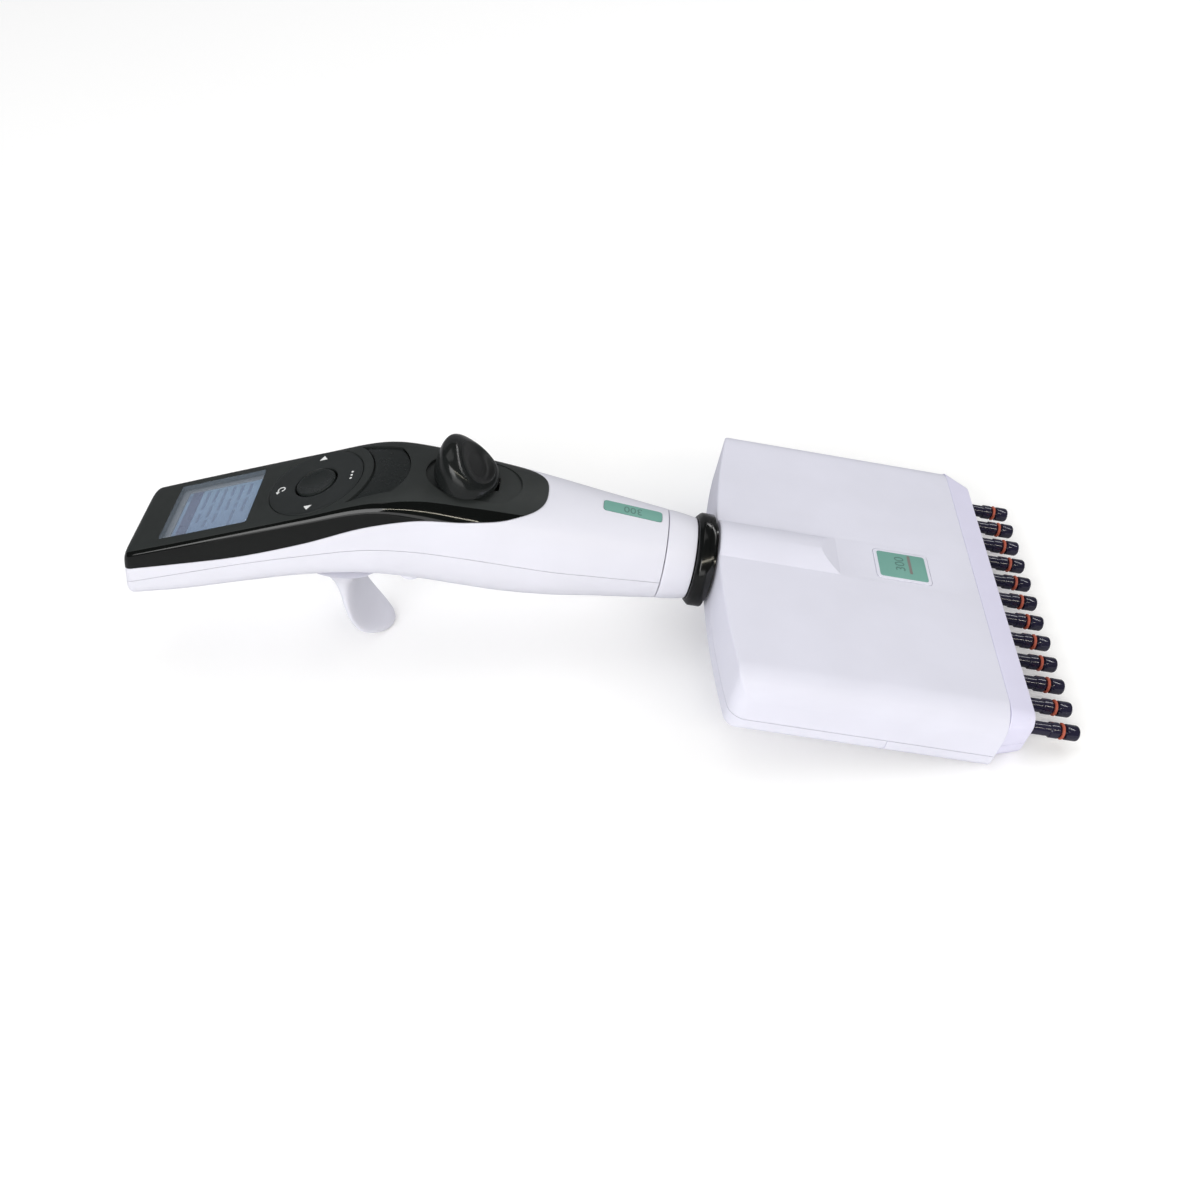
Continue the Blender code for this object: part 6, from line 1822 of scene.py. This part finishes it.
    def build_shroud(self) -> None:
        """Build the sloping white shroud that pushes the tips off."""
        back_x, tip_x = self.tip_x + self.seam, self.shroud_tip
        half = self.half_width - self.shroud_inset
        shroud = Skin()
        rings = []
        for start, sections in ((back_x, self.shroud_back), (tip_x, self.shroud_front)):
            for step, inset, low, high, corner in sections:
                outline = rounded_rectangle(mirrored(half - inset), (low, high), corner, 10)
                rings.append([(start + step, y, z) for y, z in outline])
        shroud.loft(rings)
        # Its finish carries painted violet light on the white moulding.
        made = shroud.piece("shroud_dressed", [SHROUD_PAINTED_VIOLET])
        skirt, cavity = Skin(), Skin()
        wide, deep = self.skirt_half
        skirt.prism(rounded_rectangle((back_x - self.skirt_length, back_x + 1.0), mirrored(wide), 0.5),
                    *mirrored(deep))
        carve(made, skirt.piece("shroud_skirt", [SHROUD_PAINTED_VIOLET]), "UNION")
        wide, deep = self.cavity_half
        cavity.prism(rectangle((-50.0, tip_x - self.tip_wall), mirrored(wide)), *mirrored(deep))
        carve(made, cavity.piece("shroud_cavity", [SHROUD_PAINTED_VIOLET]))
        windows = Skin()
        for i in range(self.channels):
            y = (i - (self.channels - 1) / 2) * self.pitch
            windows.turn([(tip_x + x, r) for x, r in self.window], 48, "X", (0.0, y, 0.0))
        carve(made, windows.piece("shroud_windows", [SHROUD_PAINTED_VIOLET]))
        for side in (-1, 1):
            line = Skin()
            (out, deep), (out_tip, deep_tip) = self.seam_back, self.seam_front
            outline = [(back_x - 0.5, side * (half + out)), (back_x - 0.5, side * (half - deep)),
                       (tip_x + 0.3, side * (half - deep_tip)), (tip_x + 0.3, side * (half - out_tip))]
            line.prism(outline if side > 0 else outline[::-1], *self.seam_levels)
            carve(made, line.piece(f"shroud_seam_{side + 1}", [SHROUD_PAINTED_VIOLET]))
        settle(made, "tip_ejector", ["ejector_shroud"])


@dataclass
class Channels:
    """The twelve nozzles with their sealing rings."""

    count: int = 12
    pitch: float = 9.0
    radius: float = 2.3
    tip_x: float = 5.0
    foot_x: float = -23.7
    shank: float = 1.95
    groove: float = 1.55
    groove_half: float = 1.0
    ring_tube: float = 0.46
    bore: float = 0.6
    stem_radius: float = 1.65
    stem_length: float = 6.5
    head_end: float = -3.5
    sides: int = 56

    def build(self) -> None:
        """Copy one nozzle and one ring along the row."""
        start = ((0.0, -(self.count - 1) / 2 * self.pitch, 0.0),)
        step = (0.0, self.pitch, 0.0)
        r, t, g, w = self.radius, self.tip_x, self.groove, self.groove_half
        foot, end, neck = self.foot_x, self.foot_x - self.stem_length, self.head_end
        nozzle = Skin()
        nozzle.turn([(t, self.bore + 0.25), (t, r - 0.75), (t - 0.12, r - 0.42), (t - 0.4, r - 0.14),
                     (t - 0.8, r), (w + 0.15, r), (w, r - 0.15), (w, g), (-w, g), (-w, r - 0.15),
                     (-w - 0.15, r), (neck, r), (neck - 0.15, r - 0.12), (neck - 0.2, self.shank),
                     (foot, self.shank), (foot, self.stem_radius), (end, self.stem_radius), (end, self.bore),
                     (t - 0.3, self.bore)], self.sides)
        # The nozzles' finish carries a painted violet sheen over their dark plastic.
        row = Repeat("nozzle_row", Layout.LINE, NOZZLE_BLACK_PAINTED_SHEEN)
        made = row.build(nozzle, start, step, self.count)
        settle(made, "manifold", [f"nozzle_{i + 1:02d}" for i in range(self.count)])
        seal = Skin()
        tube = self.ring_tube
        seal.turn(arc_points((0.0, g + tube - 0.02), (tube * 0.95, tube), 0, 337.5, 15), self.sides)
        rings = Repeat("sealing_rings", Layout.LINE, RING_RUBBER).build(seal, start, step, self.count)
        settle(rings, "manifold")


@dataclass
class Screws:
    """The countersunk case screws and cover screws, each with a cross recess."""

    head_radius: float = 1.9
    shank_radius: float = 1.1
    head_height: float = 1.0
    # Half the length and half the width of each bar of the cross
    cross: Pair = (1.15, 0.24)
    cross_levels: Pair = (-0.5, 0.55)
    case_length: float = 11.0
    case_sink: float = 1.3
    cover_length: float = 17.0
    cover_seat: float = -9.9
    most_turn: float = 1.5
    sides: int = 36

    def _template(self, length: float) -> tuple[Skin, list[Skin]]:
        """One screw whose head faces down, and the cross that is cut into it.

        Args:
            length: The screw's length.

        Returns:
            The screw and the two bars of the cross.
        """
        screw, cutters = Skin(), []
        r = self.head_radius
        screw.turn([(0.0, 0.0), (0.0, r - 0.35), (0.1, r - 0.12), (0.35, r), (self.head_height, r),
                    (self.head_height, self.shank_radius), (length - 0.4, self.shank_radius),
                    (length, 0.5), (length, 0.0)], self.sides, "Z")
        for long, wide in (self.cross, self.cross[::-1]):
            cross = Skin()
            cross.prism(rectangle(mirrored(long), mirrored(wide)), *self.cross_levels)
            cutters.append(cross)
        return screw, cutters

    def _row(self, name: str, spots: Sequence[Point], length: float, seed: int) -> bpy.types.Object:
        """Set copies of one screw on their spots.

        Args:
            name: The name of the piece.
            spots: The places of the heads.
            length: The screws' length.
            seed: The seed of the turns of their crosses.

        Returns:
            The screws as one piece.
        """
        screw, cutters = self._template(length)
        row = Repeat(name, Layout.POINTS, STEEL)
        return row.build(screw, spots, turn=self.most_turn, seed=seed, cutters=cutters)

    def build(self, form: HandleForm, shells: HandleShells, manifold: Manifold) -> None:
        """Set the screws on their seats.

        Args:
            form: The handle's skin.
            shells: The shells with the places of the case screws.
            manifold: The manifold with the places of the cover screws.
        """
        spots = [(x, y, form.skin_z("bottom", x, y) + shells.screw_seat - self.case_sink)
                 for x, y in shells.screw_spots]
        case = self._row("case_screws", spots, self.case_length, 3)
        settle(case, "handle", ["case_screw_1", "case_screw_2", "case_screw_3"])
        spots = [(x, y, self.cover_seat) for x, y in manifold.screw_spots]
        cover = self._row("cover_screws", spots, self.cover_length, 5)
        settle(cover, "manifold", ["cover_screw_1", "cover_screw_2"])


@dataclass
class EjectorSpring:
    """The return spring that the thumb pad pushes against."""

    span: Pair = (-145.75, -132.25)
    radius: float = 7.4
    wire: float = 0.45
    turns: float = 4.5
    travel: float = 9.0
    play: float = 0.1
    steps: int = 40
    sides: int = 12

    def build(self) -> None:
        """Wind the spring and settle it on the handle."""
        count = int(self.turns * self.steps)
        x0, x1 = self.span
        rings = []
        for i in range(count + 1):
            share = i / count
            angle = math.tau * self.turns * share
            rise = (x1 - x0) / (math.tau * self.turns)
            out = Vector((0.0, math.cos(angle), math.sin(angle)))
            along = Vector((rise, -self.radius * math.sin(angle), self.radius * math.cos(angle))).normalized()
            side = along.cross(out)
            middle = Vector((between(x0, x1, share), 0.0, 0.0)) + out * self.radius
            rings.append([tuple(middle + (out * math.cos(a) + side * math.sin(a)) * self.wire)
                          for a in (math.tau * k / self.sides for k in range(self.sides))])
        coil = Skin()
        coil.loft(rings)
        spring = coil.piece("return_spring", [STEEL], sharp=60.0)
        settle(spring, "handle", ["ejector_spring"])
        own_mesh(spring)


@dataclass
class InnerParts:
    """The parts inside, which keep their shape from the frame and get a finish of their own."""

    finishes: dict[str, Finish] = field(default_factory=lambda: {
        "main_pcb": BOARD, "battery": WRAP, "keypad_mat": SILICONE, "charging_contacts": BRASS,
        "chassis": POLYMER, "motor_stator": CAN, "motor_bearing_rear": STEEL, "motor_bearing_front": STEEL,
        "spring_seat": POLYMER, "neck_bush": POLYMER, "wheel_rocker_plate": COLLAR_BLACK,
        "ejector_slider": STEEL, "ejector_push_tube": STEEL, "motor_rotor": BRASS, "lead_screw": STEEL,
        "swivel_hub": POLYMER, "hub_clip": STEEL, "cylinder_block": POLYMER, "seal_plate": ALUMINIUM,
        "piston_seal": SILICONE, "guide_rod_1": STEEL, "guide_rod_2": STEEL, "ejector_frame": POLYMER,
        "piston_bar": ALUMINIUM, "piston_comb": STEEL, "coupling_plate": STEEL})

    def build(self, nodes: dict[str, bpy.types.Object]) -> None:
        """Give each node its finish through its material slots.

        Args:
            nodes: The frame's nodes by name.
        """
        for name, finish in self.finishes.items():
            for slot in nodes[name].material_slots:
                slot.material = finish.material()
            LOG.info("%s gets %s", name, finish.name)


@dataclass(frozen=True)
class Lamp:
    """A soft lamp that points at the object: its place and size in metres, its power in watts."""

    name: str
    spot: Point
    size: Pair
    power: float
    colour: Colour = (1.0, 1.0, 1.0)

    def hang(self) -> None:
        """Put the lamp in the scene."""
        lamp = bpy.data.lights.new(self.name, "AREA")
        lamp.shape = "RECTANGLE"
        lamp.size, lamp.size_y = self.size
        lamp.energy = self.power
        lamp.color = self.colour
        made = link_object(self.name, lamp)
        made.location = self.spot
        made.rotation_euler = (-Vector(self.spot)).to_track_quat("-Z", "Y").to_euler()


@dataclass
class Studio:
    """The pale floor, the soft light and the camera at the photograph's viewing angle."""

    lamps: tuple[Lamp, ...] = (
        Lamp("front_softbox", (-0.75, -1.35, 0.82), (1.1, 0.8), 10.8),
        Lamp("low_fill", (-0.3, -1.4, 0.25), (1.2, 0.3), 1.7),
        Lamp("far_strip", (1.0, 0.75, 1.25), (2.0, 0.07), 5.5),
        Lamp("overhead_softbox", (-0.2, 0.3, 1.4), (0.9, 0.9), 1.6),
        Lamp("front_strip", (0.45, -1.15, 0.95), (1.5, 0.035), 4.6, (1.0, 0.94, 0.78)),
    )
    floor_rows: tuple[Pair, ...] = ((-3.0, 0.0), (3.0, 0.0), (4.2, 0.35), (4.8, 1.5), (4.9, 3.5))
    floor_half: float = 4.5
    floor_drop: float = 0.0002
    floor_colour: Colour = (0.975, 0.975, 0.975)
    floor_in_gloss: Colour = (0.3, 0.3, 0.31)
    floor_lift: float = 0.06
    world_colour: Colour = (0.985, 0.99, 1.0)
    world_strength: float = 0.66
    gloss_colour: Colour = (0.97, 0.98, 1.0)
    gloss_strength: float = 0.05
    lens: float = 36.0
    sensor: float = 36.0
    camera_spot: Point = (-164.55, -279.5, 233.87)
    camera_right: Point = (0.98403, 0.04109, 0.17319)
    camera_up: Point = (-0.15470, 0.67864, 0.71799)
    camera_back: Point = (-0.08803, -0.73332, 0.67416)

    def build(self) -> None:
        """Set up the whole studio."""
        self.build_floor()
        self.build_world()
        for lamp in self.lamps:
            lamp.hang()
        self.build_camera()

    def build_floor(self) -> None:
        """Lay the floor just under the object, rolled up far behind it.

        It is darker to glossy rays, so that the black plastic stays deep, and a little brighter to
        the camera.
        """
        mesh = bpy.data.meshes.new("floor")
        points = [(x, y, z - self.floor_drop) for y, z in self.floor_rows for x in mirrored(self.floor_half)]
        faces = [(2 * i, 2 * i + 1, 2 * i + 3, 2 * i + 2) for i in range(len(self.floor_rows) - 1)]
        mesh.from_pydata(points, [], faces)
        floor = link_object("floor", mesh)
        paper = new_material("floor_paper")
        tree = paper.node_tree
        shader = tree.nodes["Principled BSDF"]
        for name, value in (("Roughness", 0.9), ("Specular IOR Level", 0.1), ("Emission Color", (1.0,) * 4)):
            shader.inputs[name].default_value = value
        rays = add_node(tree, "ShaderNodeLightPath")
        tint = add_node(tree, "ShaderNodeMix", {6: (*self.floor_colour, 1.0), 7: (*self.floor_in_gloss, 1.0)},
                        data_type="RGBA")
        lift = add_node(tree, "ShaderNodeMath", {1: self.floor_lift}, operation="MULTIPLY")
        tree.links.new(rays.outputs["Is Glossy Ray"], tint.inputs["Factor"])
        tree.links.new(tint.outputs[2], shader.inputs["Base Color"])
        tree.links.new(rays.outputs["Is Camera Ray"], lift.inputs[0])
        tree.links.new(lift.outputs["Value"], shader.inputs["Emission Strength"])
        mesh.materials.append(paper)

    def build_world(self) -> None:
        """Light the room evenly: white to the camera and through glass, and darker to glossy rays."""
        world = bpy.data.worlds.new("room")
        bpy.context.scene.world = world
        world.use_nodes = True
        tree = world.node_tree
        light = tree.nodes["Background"]
        light.inputs["Color"].default_value = (*self.world_colour, 1.0)
        light.inputs["Strength"].default_value = self.world_strength
        white = add_node(tree, "ShaderNodeBackground", {"Strength": 1.0})
        gloss = add_node(tree, "ShaderNodeBackground", {"Color": (*self.gloss_colour, 1.0),
                                                        "Strength": self.gloss_strength})
        rays = add_node(tree, "ShaderNodeLightPath")
        shiny = add_node(tree, "ShaderNodeMixShader")
        either = add_node(tree, "ShaderNodeMath", operation="MAXIMUM")
        mix = add_node(tree, "ShaderNodeMixShader")
        for source, target in (
                (rays.outputs["Is Camera Ray"], either.inputs[0]),
                (rays.outputs["Is Transmission Ray"], either.inputs[1]),
                (either.outputs["Value"], mix.inputs["Fac"]),
                (rays.outputs["Is Glossy Ray"], shiny.inputs["Fac"]),
                (light.outputs["Background"], shiny.inputs[1]),
                (gloss.outputs["Background"], shiny.inputs[2]),
                (shiny.outputs["Shader"], mix.inputs[1]),
                (white.outputs["Background"], mix.inputs[2]),
                (mix.outputs["Shader"], tree.nodes["World Output"].inputs["Surface"])):
            tree.links.new(source, target)

    def build_camera(self) -> None:
        """Set the camera where the photograph was taken."""
        camera = bpy.data.cameras.new("camera")
        camera.lens = self.lens
        camera.sensor_width = self.sensor
        camera.sensor_fit = "HORIZONTAL"
        camera.clip_start, camera.clip_end = 0.01, 30.0
        made = link_object("camera", camera)
        turn = Matrix((self.camera_right, self.camera_up, self.camera_back)).transposed().to_4x4()
        made.matrix_world = AXIS @ Matrix.Translation(Vector(self.camera_spot) * MM) @ turn
        bpy.context.scene.camera = made


def main() -> None:
    """Dress the frame piece by piece."""
    logging.basicConfig(level=logging.INFO, format="%(name)s: %(message)s")
    for old in list(bpy.data.objects):
        bpy.data.objects.remove(old, do_unlink=True)
    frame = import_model()
    bpy.context.scene.view_settings.view_transform = "Standard"
    form = HandleForm()
    shells = HandleShells(form)
    manifold = Manifold()
    Studio().build()
    shells.build()
    ControlPanel(form, shells).build()
    ThumbPad().build()
    Neck().build()
    manifold.build()
    Channels().build()
    Screws().build(form, shells, manifold)
    EjectorSpring().build()
    InnerParts().build(frame["nodes"])


if __name__ == "__main__":
    main()
